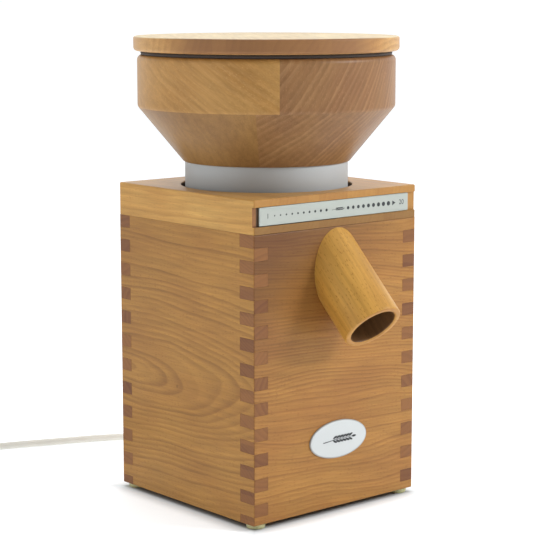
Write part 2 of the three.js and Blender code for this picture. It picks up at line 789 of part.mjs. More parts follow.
const cordCoil = () =>
  ring([
    [COIL_IN, COIL_BASE],
    [COIL_OUT, COIL_BASE],
    [COIL_OUT, COIL_TOP],
    [COIL_IN, COIL_TOP],
  ], 32).translate(COIL_CENTRE.x, COIL_CENTRE.y, 0);

// Strap round the coil's turns, on the side towards the front.
function cordTie() {
  const thickness = 0.8;
  const loop = (grow) =>
    block(
      [-5, 5],
      [-COIL_OUT - GAP - grow, -COIL_IN + 0.8 + grow],
      [COIL_BASE - 0.2 - grow, COIL_TOP + GAP + grow],
    );
  const hollow = loop(0).scale(2, 1, 1);
  return cut(loop(thickness), hollow).translate(COIL_CENTRE.x, COIL_CENTRE.y, 0);
}

// Moulded two-pin plug with a tapered neck, lying with its pins towards the front.
const PLUG = { neck: 189.2, shoulder: 165, face: 145, z: PLUG_RADIUS + 0.1 };
const PIN = { radius: 2.4, length: 19, spacing: 19 };

const alongPlug = (piece, x = 0) =>
  piece.rotateX(Math.PI / 2).translate(TAIL_ROUTE[0][0] + x, 0, PLUG.z);

const plugBody = () =>
  alongPlug(
    turned([
      [0, -PLUG.neck],
      [CORD / 2 + 0.9, -PLUG.neck],
      [7, -PLUG.shoulder - 4, 6],
      [PLUG_RADIUS - 1.5, -PLUG.shoulder, 4],
      [PLUG_RADIUS, -PLUG.face, 1.2],
      [0, -PLUG.face],
    ], 20),
  );

const plugPin = (side) =>
  alongPlug(
    turned([
      [0, -PLUG.face + GLUE_GAP],
      [PIN.radius, -PLUG.face + GLUE_GAP],
      [PIN.radius, -PLUG.face + PIN.length, 1.4],
      [0, -PLUG.face + PIN.length],
    ], 16),
    (side * PIN.spacing) / 2,
  );

// ---- Assembly -----------------------------------------------------------------------------------

const mill = new THREE.Group();
mill.position.y = AXIS_Y;

function add(name, geometry, material, x = 0, y = 0) {
  const mesh = new THREE.Mesh(geometry, material);
  mesh.name = name;
  mesh.position.set(x, y, 0);
  mill.add(mesh);
}

add("front_board", frontBoard(), BEECH);
add("back_board", backBoard(), BEECH);
add("left_board", sideBoard(), BEECH, -HALF);
add("right_board", sideBoard(), BEECH, INNER_SIDE);
add("top_plate", topPlate(), BEECH);
add("base_plate", basePlate(), PLYWOOD);
corners(HALF - FOOT_INSET).forEach(([x, y], i) => add(`foot_${i + 1}`, foot(), FOOT_RUBBER, x, y));
add("scale_strip", scaleStrip(), ALUMINIUM);
add("front_badge", badge(), ALUMINIUM);
add("spout", spout(), SPOUT_BEECH);

add("milling_chamber", millingChamber(), ALUMINIUM);
add("shaft_seal", shaftSeal(), FELT);
add("stone_carrier", stoneCarrier(), ALUMINIUM);
add("lower_stone", lowerStone(), CORUNDUM);
add("sweeper_left", sweeper(Math.PI), STEEL);
add("sweeper_right", sweeper(0), STEEL);
add("stone_nut", stoneNut(), BRASS);
add("feed_agitator", feedAgitator(), STEEL);

add("dust_seal", dustSeal(), FELT);
add("collar_ring", collarRing(), ALUMINIUM);
add("hopper_bowl", hopperBowl(), BEECH);
add("feed_funnel", feedFunnel(), PALE_PLASTIC);
add("throat_guard", throatGuard(), STEEL);
add("stone_holder", stoneHolder(), GREY_PLASTIC);
add("upper_stone", upperStone(), CORUNDUM);
add("lid_seal", lidSeal(), SEAL_RUBBER);
add("hopper_lid", hopperLid(), LID_BEECH);

corners(POST_OFFSET).forEach(([x, y], i) => add(`hanging_post_${i + 1}`, hangingPost(), STEEL, x, y));
add("motor_plate", motorPlate(), STEEL);
add("upper_bell", ring(bellProfile(), 24), ALUMINIUM);
add("lower_bell", ring(flipped(bellProfile()), 24), ALUMINIUM);
add("upper_bearing", ring(bearingProfile), STEEL);
add("lower_bearing", ring(flipped(bearingProfile)), STEEL);
add("upper_winding", ring(windingProfile), COPPER);
add("lower_winding", ring(flipped(windingProfile)), COPPER);
add("motor_stator", stator(), LAMINATION);
add("motor_rotor", rotor(), LAMINATION);
add("motor_shaft", motorShaft(), STEEL);
add("cooling_fan", coolingFan(), BLACK_PLASTIC);

add("run_capacitor", capacitor(), ALUMINIUM);
add("capacitor_clip", capacitorClip(), STEEL);
add("terminal_block", terminalBlock(), PALE_PLASTIC);
add("switch_frame", switchFrame(), BLACK_PLASTIC);
add("switch_rocker", switchRocker(), BLACK_PLASTIC);
add("cable_gland", cableGland(), PALE_PLASTIC);
add("strain_relief", strainRelief(), PALE_PLASTIC);

add("power_cord", cordTube(CORD_ROUTE, 30), PALE_PLASTIC);
add("cord_coil", cordCoil(), PALE_PLASTIC);
add("cord_tail", cordTube(TAIL_ROUTE, 4), PALE_PLASTIC);
add("cord_tie", cordTie(), BLACK_PLASTIC);
add("plug_body", plugBody(), PALE_PLASTIC);
add("plug_pin_left", plugPin(-1), STEEL);
add("plug_pin_right", plugPin(1), STEEL);

const part = new THREE.Group();
part.add(mill);

export default part;
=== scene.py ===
"""Looks of an electric grain mill: a finger-jointed beech cabinet, a turned hopper on an aluminium
collar, a slanting spout and a mains lead. Shapes are worked out in millimetres about the mill's
axis, with z up from the table, and are placed in metres in the row frame."""

import json
import math
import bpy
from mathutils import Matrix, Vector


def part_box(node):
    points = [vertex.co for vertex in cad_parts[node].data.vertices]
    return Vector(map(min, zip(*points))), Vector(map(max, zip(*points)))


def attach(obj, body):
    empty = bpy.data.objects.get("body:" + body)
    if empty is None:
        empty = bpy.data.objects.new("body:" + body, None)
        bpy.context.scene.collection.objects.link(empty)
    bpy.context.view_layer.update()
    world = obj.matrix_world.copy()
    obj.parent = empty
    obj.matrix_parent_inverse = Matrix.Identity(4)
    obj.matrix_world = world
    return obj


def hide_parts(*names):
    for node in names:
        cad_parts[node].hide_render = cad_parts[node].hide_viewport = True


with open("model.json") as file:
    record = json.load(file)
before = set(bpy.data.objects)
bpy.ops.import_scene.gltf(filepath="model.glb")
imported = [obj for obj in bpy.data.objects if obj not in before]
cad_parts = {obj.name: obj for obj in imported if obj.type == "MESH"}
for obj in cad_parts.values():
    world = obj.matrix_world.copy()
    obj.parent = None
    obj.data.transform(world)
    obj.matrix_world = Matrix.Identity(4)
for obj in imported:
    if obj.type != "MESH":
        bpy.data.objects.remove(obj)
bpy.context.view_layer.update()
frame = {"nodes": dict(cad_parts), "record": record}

from types import SimpleNamespace

import bmesh
import bpy
import numpy as np
from mathutils import Matrix, Vector

MM = 0.001
TAU = 2 * math.pi
BODY_OF = {
    node: body
    for body, nodes in frame["record"]["behaviour"]["bodies"].items()
    for node in nodes
}


def box_mm(node):
    """A CAD node's box in millimetres about the mill's axis: lowest and highest corner, size and
    middle."""
    low, high = (np.array(corner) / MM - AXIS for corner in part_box(node))
    return SimpleNamespace(low=low, high=high, size=high - low, middle=(low + high) / 2)


AXIS = np.array([*(np.array(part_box("collar_ring")).mean(0)[:2] / MM), 0.0])


def placed(points):
    """Points in millimetres about the mill's axis, in metres in the row frame."""
    return (np.asarray(points, float) + AXIS) * MM


# ---- Camera -------------------------------------------------------------------------------------

CAMERA_AT = (-0.9544, -1.0989, 0.4211)
CAMERA_AZIMUTH = math.radians(-40.78)
CAMERA_ELEVATION = math.radians(9.168)
CAMERA_LENS = 116.75

camera = bpy.data.objects.new("camera", bpy.data.cameras.new("camera"))
bpy.context.scene.collection.objects.link(camera)
camera.data.lens = CAMERA_LENS
camera.data.sensor_width = 36
camera.data.clip_start = 0.05
camera.data.clip_end = 200
towards_camera = Vector((
    math.sin(CAMERA_AZIMUTH) * math.cos(CAMERA_ELEVATION),
    -math.cos(CAMERA_AZIMUTH) * math.cos(CAMERA_ELEVATION),
    math.sin(CAMERA_ELEVATION),
))
camera.location = CAMERA_AT
camera.rotation_mode = "QUATERNION"
camera.rotation_quaternion = (-towards_camera).to_track_quat("-Z", "Y")
bpy.context.scene.camera = camera


# ---- Surfaces -----------------------------------------------------------------------------------

def grid_faces(rows, columns, close_rows=False, close_columns=True):
    """Quads between neighbouring points of a grid that is stored row by row."""
    row = np.arange(rows if close_rows else rows - 1)[:, None]
    column = np.arange(columns if close_columns else columns - 1)[None, :]
    row_next, column_next = (row + 1) % rows, (column + 1) % columns
    corners = [
        row * columns + column,
        row * columns + column_next,
        row_next * columns + column_next,
        row_next * columns + column,
    ]
    return np.stack(corners, -1).reshape(-1, 4)


def unit(vectors):
    """Vectors divided by their lengths."""
    vectors = np.asarray(vectors, float)
    return vectors / np.maximum(np.linalg.norm(vectors, axis=-1, keepdims=True), 1e-12)


def rounded(corners, closed=False, chords=6, hold=0.3):
    """Outline through (a, b, radius) corners. Each corner gives way to an arc about the point at
    radius / sin(half the corner's angle) along its bisector, and hold keeps a short straight
    piece at both ends of the arc so that shading stays flat beyond it."""
    corners = np.array([(*c, 0)[:3] for c in corners], float)
    points, radius = corners[:, :2], corners[:, 2].copy()
    if not closed:
        radius[[0, -1]] = 0
    before = unit(np.roll(points, 1, 0) - points)
    after = unit(np.roll(points, -1, 0) - points)
    half = np.arccos(np.clip((before * after).sum(1), -1, 1)) / 2
    reach = radius / np.maximum(np.tan(half), 1e-9)
    centre = points + unit(before + after) * (radius / np.maximum(np.sin(half), 1e-9))[:, None]
    start = points + before * reach[:, None] - centre
    side = np.sign(after[:, 0] * before[:, 1] - after[:, 1] * before[:, 0])
    angle = ((math.pi - 2 * half) * side)[:, None] * np.linspace(0, 1, chords + 1)
    cos, sin = np.cos(angle), np.sin(angle)
    arc = np.stack([
        centre[:, :1] + start[:, :1] * cos - start[:, 1:] * sin,
        centre[:, 1:] + start[:, :1] * sin + start[:, 1:] * cos,
    ], -1)
    held = np.where(radius > 0, reach + hold, 0)[:, None]
    outline = np.concatenate([
        (points + before * held)[:, None],
        arc,
        (points + after * held)[:, None],
    ], 1).reshape(-1, 2)
    step = np.linalg.norm(outline - np.roll(outline, 1, 0), axis=1)
    keep = step > 1e-6
    if not closed:
        keep[0] = True
    return outline[keep]


def turned(profile, sides=128, is_ring=False, about=(0, 0)):
    """Each (radius, z) of a profile carried round the axis: (radius cos a, radius sin a, z)."""
    profile = np.asarray(profile, float)
    angle = np.arange(sides) * TAU / sides
    points = np.stack([
        about[0] + profile[:, :1] * np.cos(angle),
        about[1] + profile[:, :1] * np.sin(angle),
        profile[:, 1:2] + 0 * angle,
    ], -1)
    return points.reshape(-1, 3), grid_faces(len(profile), sides, close_rows=is_ring)


def along_y(surface, middle):
    """A surface laid so that its height runs along +Y, with its axis through a middle."""
    points, faces = surface
    x, y, z = points.T
    return np.stack([middle[0] + x, z, middle[2] + y], -1), faces


def rounded_rectangle(width, depth, radius, chords=6, along=1):
    """Outline and outward normals of a rectangle with round corners: at each corner the normal
    sweeps a quarter turn, and along points lie on the straight between two corners."""
    angle = np.arange(4)[:, None] * math.pi / 2 + np.linspace(0, math.pi / 2, chords + 1)
    normal = np.stack([np.cos(angle), np.sin(angle)], -1)
    reach = np.array([width / 2 - radius, depth / 2 - radius])
    corner = np.array([[1, 1], [-1, 1], [-1, -1], [1, -1]]) * reach
    arc = corner[:, None] + radius * normal
    share = (np.arange(1, along) / along)[None, :, None]
    straight = arc[:, -1:] * (1 - share) + np.roll(arc, -1, 0)[:, :1] * share
    flat = np.repeat(normal[:, -1:], along - 1, 1)
    outline = np.concatenate([arc, straight], 1).reshape(-1, 2)
    return outline, np.concatenate([normal, flat], 1).reshape(-1, 2)


def lofted(outline, normals, profile, is_ring=False):
    """An outline carried up a profile of (inset, height): outline minus inset times its normal."""
    profile = np.asarray(profile, float)
    flat = outline[None] - profile[:, None, :1] * normals[None]
    height = np.broadcast_to(profile[:, None, 1:2], (*flat.shape[:2], 1))
    points = np.concatenate([flat, height], -1).reshape(-1, 3)
    return points, grid_faces(len(profile), len(outline), close_rows=is_ring)


def facing_front(surface, at):
    """A surface lying flat, stood up with its top towards -Y and its origin at a point."""
    points, faces = surface
    return at + np.stack([points[:, 0], -points[:, 2], points[:, 1]], -1), faces


def capped(surface, columns):
    """A lofted surface with one flat face over its first row and one over its last."""
    points, faces = surface
    count = len(points)
    first = list(range(columns))
    last = list(range(count - columns, count))
    return points, faces.tolist() + [first[::-1], last]


def tube(path, radius, sides=12):
    """A circle carried along a path: its side is the path's direction crossed with up, and its
    upper point is side crossed with direction."""
    path = np.asarray(path, float)
    direction = unit(np.gradient(path, axis=0))
    side = unit(np.cross(direction, [0, 0, 1]))
    above = np.cross(side, direction)
    angle = np.arange(sides) * TAU / sides
    points = (
        path[:, None]
        + radius * np.cos(angle)[None, :, None] * side[:, None]
        + radius * np.sin(angle)[None, :, None] * above[:, None]
    )
    surface = points.reshape(-1, 3), grid_faces(len(path), sides)
    return capped(surface, sides)


def piece(name, surfaces, material, node=None, smooth=35):
    """A mesh from one surface or several, in place, with its doubles merged and its faces turned
    outwards. smooth is the angle in degrees up to which faces shade into each other."""
    surfaces = surfaces if isinstance(surfaces, list) else [surfaces]
    points, faces, start = [], [], 0
    for part_points, part_faces in surfaces:
        points.append(np.asarray(part_points, float))
        rows = part_faces.tolist() if isinstance(part_faces, np.ndarray) else part_faces
        faces += [[index + start for index in row] for row in rows]
        start += len(part_points)
    mesh = bpy.data.meshes.new(name)
    mesh.from_pydata(placed(np.concatenate(points)).tolist(), [], faces)
    merged = bmesh.new()
    merged.from_mesh(mesh)
    bmesh.ops.remove_doubles(merged, verts=merged.verts, dist=2e-7)
    bmesh.ops.recalc_face_normals(merged, faces=merged.faces)
    merged.to_mesh(mesh)
    merged.free()
    return finished(name, mesh, material, node, smooth)


def finished(name, mesh, material, node, smooth):
    """An object for a finished mesh that stands for a CAD node and rides on its body. A piece
    without a node belongs to the cabinet."""
    made = bpy.data.objects.new(name, mesh)
    bpy.context.scene.collection.objects.link(made)
    for one in material if isinstance(material, (list, tuple)) else [material]:
        mesh.materials.append(one)
    if smooth:
        mesh.shade_smooth()
        mesh.set_sharp_from_angle(angle=math.radians(smooth))
    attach(made, BODY_OF.get(node, "cabinet"))
    if node:
        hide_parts(node)
    return made


# ---- Mains lead ---------------------------------------------------------------------------------

CORD_RADIUS = 3.1
CORD_EXIT = (45, 120, 34)
CORD_ROUTE = [
    CORD_EXIT, (45, 132, 33.4), (44.6, 145, 29), (43, 158, 20.5), (39.8, 171, 11.5),
    (34.5, 184, 5.2), (26.5, 196, 3.2), (15, 207, 3.2), (0, 216.5, 3.2), (-17, 225, 3.2),
    (-36, 233, 3.2), (-56, 241, 3.2), (-77, 249.5, 3.2), (-98, 257.5, 3.2), (-119, 264, 3.5),
    (-139, 267.6, 4), (-156.5, 268.3, 4.2),
]
COIL_CENTRE = (-180, 230)
COIL_INNER, COIL_OUTER = 31.9, 38.3
COIL_FLOOR, CORD_LAYER = 4.2, 6.2
COIL_TURNS = 4.25
TAIL_ROUTE = [
    (-218.3, 206.5, 16.7), (-218.3, 201, 16.9), (-218.3, 195, 17.6), (-218.3, 188, 18.4),
]


def eased(value):
    """A smooth rise from 0 to 1 as value goes from 0 to 1: 3 v^2 - 2 v^3."""
    value = np.clip(value, 0, 1)
    return value * value * (3 - 2 * value)


def coil_path():
    """Turns counter-clockwise from the coil's far side: two columns of turns, where radius and
    height are sums of eased steps over the turned angle, each before the turn meets its start."""
    angle = np.arange(0, COIL_TURNS * 360 + 1, 5.0)
    step = lambda start, end: eased((angle - start) / (end - start))
    inwards, outwards = step(270, 330), step(930, 990)
    radius = COIL_OUTER + (COIL_INNER - COIL_OUTER) * (inwards - outwards)
    height = COIL_FLOOR + CORD_LAYER * (step(570, 630) + step(1230, 1290))
    at = np.radians(90 + angle)
    return np.stack([
        COIL_CENTRE[0] + radius * np.cos(at),
        COIL_CENTRE[1] + radius * np.sin(at),
        height,
    ], -1)


def lengths(path):
    """Length along a path up to each of its points."""
    steps = np.linalg.norm(np.diff(path, axis=0), axis=1)
    return np.concatenate([[0], np.cumsum(steps)])


def smooth_path(points, step):
    """A Catmull-Rom curve through points, resampled at an even step. Between two points it is the
    cubic whose end slopes are half the distance between each point's neighbours."""
    points = np.asarray(points, float)
    ends = np.concatenate([
        2 * points[:1] - points[1:2],
        points,
        2 * points[-1:] - points[-2:-1],
    ])
    p0, p1, p2, p3 = (ends[i:len(ends) - 3 + i, None] for i in range(4))
    t = np.linspace(0, 1, 12, endpoint=False)[None, :, None]
    curve = 0.5 * (
        2 * p1
        + (p2 - p0) * t
        + (2 * p0 - 5 * p1 + 4 * p2 - p3) * t ** 2
        + (3 * p1 - p0 - 3 * p2 + p3) * t ** 3
    ).reshape(-1, 3)
    curve = np.concatenate([curve, points[-1:]])
    length = lengths(curve)
    even = np.linspace(0, length[-1], int(length[-1] / step) + 1)
    return np.stack([np.interp(even, length, curve[:, axis]) for axis in range(3)], -1)


cord_path = smooth_path(np.concatenate([CORD_ROUTE, coil_path(), TAIL_ROUTE]), 1.6)


# ---- Shader groups ------------------------------------------------------------------------------

def add(tree, kind, inputs=None, **settings):
    """A shader node with its settings, and its inputs linked or set."""
    made = tree.nodes.new("ShaderNode" + kind)
    for key, value in settings.items():
        setattr(made, key, value)
    for key, value in (inputs or {}).items():
        value = getattr(value, "socket", value)
        if isinstance(value, bpy.types.NodeSocket):
            tree.links.new(value, made.inputs[key])
        else:
            made.inputs[key].default_value = value
    return made


class Flow:
    """An output socket to reckon with: each operation adds a shader node to its tree."""

    def __init__(self, socket):
        self.socket, self.tree = socket, socket.id_data

    def math(self, operation, *others):
        """A Math node on this value and up to two others."""
        return Flow(add(self.tree, "Math", dict(enumerate((self, *others))),
                        operation=operation).outputs[0])

    def __add__(self, other):
        return self.math("ADD", other)

    def __sub__(self, other):
        return self.math("SUBTRACT", other)

    def __mul__(self, other):
        return self.math("MULTIPLY", other)

    def __truediv__(self, other):
        return self.math("DIVIDE", other)

    def plus(self, other):
        """A vector and another, added."""
        return Flow(add(self.tree, "VectorMath", {0: self, 1: other}).outputs[0])

    def times(self, factors):
        """A vector times three factors."""
        return Flow(add(self.tree, "VectorMath", {0: self, 1: factors},
                        operation="MULTIPLY").outputs[0])

    def parts(self):
        """The three values of a vector."""
        return [Flow(one) for one in add(self.tree, "SeparateXYZ", {0: self}).outputs]

    def eased(self, low, high, to_low=0.0, to_high=1.0):
        """The value from the range low to high, eased onto another range and kept inside it."""
        inputs = {"Value": self, "From Min": low, "From Max": high, "To Min": to_low,
                  "To Max": to_high}
        return Flow(add(self.tree, "MapRange", inputs, interpolation_type="SMOOTHSTEP").outputs[0])

    def noise(self, scale, detail=2.0, roughness=0.5, output=0):
        """A Noise Texture in three dimensions at this vector."""
        inputs = {"Vector": self, "Scale": scale, "Detail": detail, "Roughness": roughness}
        return Flow(add(self.tree, "TexNoise", inputs).outputs[output])

    def cells(self, scale):
        """Distances in a Voronoi Texture at this vector, and one random value for each cell."""
        made = add(self.tree, "TexVoronoi", {"Vector": self, "Scale": scale})
        chosen = add(self.tree, "SeparateColor", {0: made.outputs["Color"]}).outputs[0]
        return Flow(made.outputs["Distance"]), Flow(chosen)

    def white_noise(self):
        """One random value for each whole number."""
        made = add(self.tree, "TexWhiteNoise", {"W": self}, noise_dimensions="1D")
        return Flow(made.outputs["Value"])

    def mixed(self, first, second):
        """Two colours mixed by this share."""
        inputs = {0: self, 6: first, 7: second}
        return Flow(add(self.tree, "Mix", inputs, data_type="RGBA").outputs[2])

    def toned(self, tone):
        """This colour times a tone."""
        grey = add(self.tree, "CombineColor", {0: tone, 1: tone, 2: tone}).outputs[0]
        inputs = {0: 1.0, 6: self, 7: grey}
        return Flow(add(self.tree, "Mix", inputs, data_type="RGBA",
                        blend_type="MULTIPLY").outputs[2])


def new_group(name, inputs, outputs):
    """An empty shader group with named sockets, what it is given, and its outputs."""
    tree = bpy.data.node_groups.new(name, "ShaderNodeTree")
    for title, value in inputs.items():
        kind = "Float" if isinstance(value, float) else "Color" if len(value) == 4 else "Vector"
        socket = tree.interface.new_socket(title, in_out="INPUT", socket_type="NodeSocket" + kind)
        socket.default_value = value
    for title, kind in outputs.items():
        tree.interface.new_socket(title, in_out="OUTPUT", socket_type="NodeSocket" + kind)
    source = tree.nodes.new("NodeGroupInput").outputs
    given = {title.lower().replace(" ", "_"): Flow(source[title]) for title in inputs}
    return tree, SimpleNamespace(**given), tree.nodes.new("NodeGroupOutput").inputs


def send(tree, sink, **values):
    """Links values to a group's outputs."""
    for title, value in values.items():
        tree.links.new(value.socket, sink[title])


FINGER = 10.14  # height of a finger of the corner joints


def beech_group():
    """Beech as a solid. With +X along the grain, growth rings are shells about a line that lies
    under the face and leans along X, so that a face cuts them in lines and pointed loops. Fibres
    are noise drawn out along X, and ray flecks are long small cells. Shade paints a shadow on the
    board: it darkens it where its height less 0.8 times its length rises from 0.03 to 0.175.
    Knot is the place of a pin knot. End, from 0 to 1, turns the figure into end grain."""
    tree, given, sink = new_group("beech_figure", {
        "Vector": (0.0, 0.0, 0.0),
        "Light": (0.5, 0.3, 0.15, 1.0),
        "Warm": (0.45, 0.25, 0.11, 1.0),
        "Dark": (0.3, 0.15, 0.06, 1.0),
        "End Light": (0.35, 0.17, 0.08, 1.0),
        "End Dark": (0.22, 0.1, 0.05, 1.0),
        "End": 0.0,
        "Ring": 0.005,
        "Height": 0.0,
        "Depth": 0.03,
        "Lean": 0.1,
        "Waver": 0.01,
        "Rings": 0.5,
        "Flecks": 0.5,
        "Knot": (9.0, 9.0, 0.0),
        "Shade": 0.0,
        "Seed": 0.0,
    }, {"Color": "Color", "Roughness": "Float", "Height": "Float"})
    seed = add(tree, "CombineXYZ", {axis: given.seed for axis in range(3)}).outputs[0]
    moved = given.vector.plus(seed)
    length, height, depth = given.vector.parts()

    slow = moved.times((0.45, 1, 1)).noise(17.0, 1.0, output="Color").parts()
    quick = moved.times((0.3, 1, 1)).noise(90.0)
    across = height - given.height + (slow[0] - 0.5) * given.waver
    below = depth + (length * given.lean + given.depth) + (slow[1] - 0.5) * given.waver
    distance = (across * across + below * below).math("SQRT") + (quick - 0.5) * 0.0022
    phase = distance / given.ring
    share = phase.math("FRACT")
    strength = phase.math("FLOOR").white_noise().eased(0.0, 1.0, 0.25, 1.0)
    line = share.eased(0.12, 0.8) * share.eased(1.0, 0.82) * strength

    drift = moved.times((0.5, 1, 1)).noise(26.0).eased(0.3, 0.7)
    fibre = moved.times((1, 26, 26)).noise(42.0, 3.0, 0.62)
    streak = moved.times((1, 14, 14)).noise(16.0).eased(0.25, 0.75, 0.91, 1.09)
    from_middle, chosen = moved.times((240, 1150, 1150)).cells(1.0)
    fleck = from_middle.eased(0.34, 0.16) * chosen.eased(0.35, 0.6)
    from_knot = Flow(add(tree, "VectorMath", {
        0: given.vector.times((1, 1, 0)),
        1: given.knot,
    }, operation="DISTANCE").outputs["Value"])
    colour = drift.mixed(given.light, given.warm)
    for dark_share in (
        line * given.rings,
        fleck * given.flecks,
        from_knot.eased(0.0019, 0.0006, 0.0, 0.7),
    ):
        colour = dark_share.mixed(colour, given.dark)
    side_grain = colour.toned((fibre * 0.5 + 0.75) * streak)
    # Painted shadow: Shade mixes the side grain towards a dark red-brown as the slant rises.
    shade = (height - length * 0.8).eased(0.03, 0.175) * given.shade
    side_grain = shade.mixed(side_grain, (0.07, 0.02, 0.01, 1))

    level = (height * (1000 / FINGER)).math("FLOOR")
    finger = (level + (length.math("SIGN") * 31.0 + given.seed)).white_noise()
    end_grain = (line * 0.25 + (finger * 0.55 + 0.25)).mixed(given.end_light, given.end_dark)
    pores = moved.cells(2600.0)[0].eased(0.1, 0.4, 0.86, 1.03)
    end_grain = end_grain.toned(pores)

    send(
        tree, sink,
        Color=given.end.mixed(side_grain, end_grain),
        Roughness=given.end * 0.12 + (fibre * 0.12 + 0.36),
        Height=fibre - fleck * 0.4,
    )
    return tree


def metal_group():
    """Metal drawn or turned in one direction. Stretch says how far its fine noise is drawn out
    along each axis, and Patches how much its tone drifts."""
    tree, given, sink = new_group("worked_metal", {
        "Vector": (0.0, 0.0, 0.0),
        "Tint": (0.6, 0.6, 0.6, 1.0),
        "Stretch": (1.0, 1.0, 40.0),
        "Rough": 0.35,
        "Patches": 0.06,
    }, {"Color": "Color", "Roughness": "Float", "Height": "Float"})
    lines = given.vector.times(given.stretch).noise(120.0, 3.0, 0.6)
    cloud = given.vector.noise(45.0, 3.0)
    tone = (lines - 0.5) * 0.12 + ((cloud - 0.5) * given.patches + 1.0)
    send(tree, sink, Color=given.tint.toned(tone), Roughness=lines * 0.14 + given.rough,
         Height=lines)
    return tree


def grain_group():
    """Moulded, cast or ground surfaces: cells of a given size under a soft drift of tone."""
    tree, given, sink = new_group("fine_grain", {
        "Vector": (0.0, 0.0, 0.0),
        "Tint": (0.6, 0.6, 0.6, 1.0),
        "Spot": (0.3, 0.3, 0.3, 1.0),
        "Size": 0.0006,
        "Spots": 0.2,
        "Rough": 0.5,
    }, {"Color": "Color", "Roughness": "Float", "Height": "Float"})
    from_middle, chosen = given.vector.cells(given.size.math("POWER", -1.0))
    cloud = given.vector.noise(60.0, 4.0)
    fine = given.vector.noise(1500.0)
    colour = (chosen.eased(0.55, 0.95) * given.spots).mixed(given.tint, given.spot)
    send(tree, sink, Color=colour.toned(cloud * 0.14 + 0.93), Roughness=cloud * 0.12 + given.rough,
         Height=from_middle * 0.7 + fine)
    return tree


BEECH = beech_group()
METAL = metal_group()
GRAIN = grain_group()


# ---- Materials ----------------------------------------------------------------------------------

def linear(levels):
    """A colour from its sRGB levels, 0 to 255, as linear light with full alpha."""
    level = np.array(levels) / 255
    light = np.where(level < 0.04045, level / 12.92, ((level + 0.055) / 1.055) ** 2.4)
    return (*light.tolist(), 1.0)


def new_material(name, tree_group, values, bump, bump_depth, vector=None, **shader):
    """A material whose colour, roughness and bump come from a group, with the shader's own
    values set on its sockets. A value that is a word is read from the mesh under that name, and
    vector turns the object's coordinates into the group's."""
    material = bpy.data.materials.new(name)
    material.use_nodes = True
    tree = material.node_tree
    surface = tree.nodes["Principled BSDF"]
    place = add(tree, "TexCoord").outputs["Object"]
    if vector:
        mapping = {"Vector": place, "Rotation": vector[0], "Location": vector[1]}
        place = add(tree, "Mapping", mapping).outputs[0]
    stored = {
        title: add(tree, "Attribute", attribute_name=value).outputs["Fac"]
        for title, value in values.items() if isinstance(value, str)
    }
    looks = add(tree, "Group", {"Vector": place, **values, **stored}, node_tree=tree_group)
    relief = {"Strength": bump, "Distance": bump_depth, "Height": looks.outputs["Height"]}
    for title, value in (
        ("Base Color", looks.outputs["Color"]),
        ("Roughness", looks.outputs["Roughness"]),
        ("Normal", add(tree, "Bump", relief).outputs[0]),
    ):
        tree.links.new(value, surface.inputs[title])
    for title, value in shader.items():
        surface.inputs[title.replace("_", " ")].default_value = value
    return material


def laid(along, up, centre):
    """The turn and move that bring a centre, in millimetres, to nothing and lay +X along the
    grain and +Y as near to up as it goes."""
    x = Vector(along).normalized()
    z = x.cross(Vector(up)).normalized()
    turn = Matrix((x, z.cross(x), z))
    centre = Vector(placed(centre))
    return turn.to_euler(), -(turn @ centre)


OILED = (170, 123, 56), (160, 112, 50), (122, 80, 34), (148, 100, 54), (108, 67, 41)


def beech(name, along, up, centre, tones=OILED, **figure):
    """Oiled beech with its grain laid along a direction. tones are the light, warm and dark ones
    of side grain and, where end grain shows, its light and dark ones."""
    titles = "Light", "Warm", "Dark", "End Light", "End Dark"
    values = dict(zip(titles, map(linear, (*tones, *OILED[len(tones):]))))
    return new_material(name, BEECH, {**values, "End": "end_grain", **figure}, 0.35, 0.00012,
                        laid(along, up, centre), Specular_IOR_Level=0.28)


def metal(name, tint, rough=0.35, stretch=(1.0, 1.0, 40.0), patches=0.06, bump=0.15, metallic=1.0):
    """Bare or plated metal."""
    values = {"Tint": linear(tint), "Rough": rough, "Stretch": stretch, "Patches": patches}
    return new_material(name, METAL, values, bump, 0.00003, Metallic=metallic)


def moulded(name, tint, rough=0.5, spot=None, spots=0.1, size=0.0006, bump=0.25, **shader):
    """Plastic, rubber, felt or stone."""
    values = {"Tint": linear(tint), "Rough": rough, "Spot": linear(spot or tint), "Spots": spots,
              "Size": size}
    return new_material(name, GRAIN, values, bump, size / 8, **shader)


FRONT, LEFT, UP = Vector((0, -1, 0)), Vector((-1, 0, 0)), Vector((0, 0, 1))
X_AXIS, Y_AXIS = Vector((1, 0, 0)), Vector((0, 1, 0))
BOARD_MIDDLE = 234 - 12 * FINGER  # where two fingers meet, about halfway up the boards

# Shade paints a light shadow over the upper back of the left board.
beech_left = beech(
    "beech_left", FRONT, UP, (-87, 0, BOARD_MIDDLE),
    Ring=0.0044, Height=-0.006, Depth=0.017, Lean=0.22, Waver=0.018, Rings=0.55, Shade=0.14,
    Knot=(-0.0105, -0.0123, 0.0),
)
# Shade paints a shadow over the front board's upper left.
beech_front = beech(
    "beech_front", Vector((1, 0, -0.08)), UP, (0, -87, BOARD_MIDDLE),
    ((169, 121, 58), (159, 109, 52), (122, 76, 36)),
    Ring=0.0027, Height=-0.19, Depth=0.09, Lean=-0.02, Waver=0.02, Rings=0.52, Seed=3.1,
    Shade=0.68,
)
beech_right = beech(
    "beech_right", Y_AXIS, UP, (87, 0, BOARD_MIDDLE),
    Ring=0.0058, Height=-0.03, Depth=0.025, Waver=0.03, Seed=5.7,
)
beech_back = beech(
    "beech_back", LEFT, UP, (0, 87, BOARD_MIDDLE),
    Ring=0.0052, Height=0.04, Depth=0.035, Lean=0.06, Waver=0.03, Seed=8.3,
)
beech_top = beech(
    "beech_top", FRONT, LEFT, (0, 0, 261),
    ((196, 152, 82), (186, 138, 70), (158, 110, 52), (178, 132, 68), (160, 112, 58)),
    Ring=0.0044, Height=0.12, Lean=0.02, Waver=0.02, Seed=2.2,
)
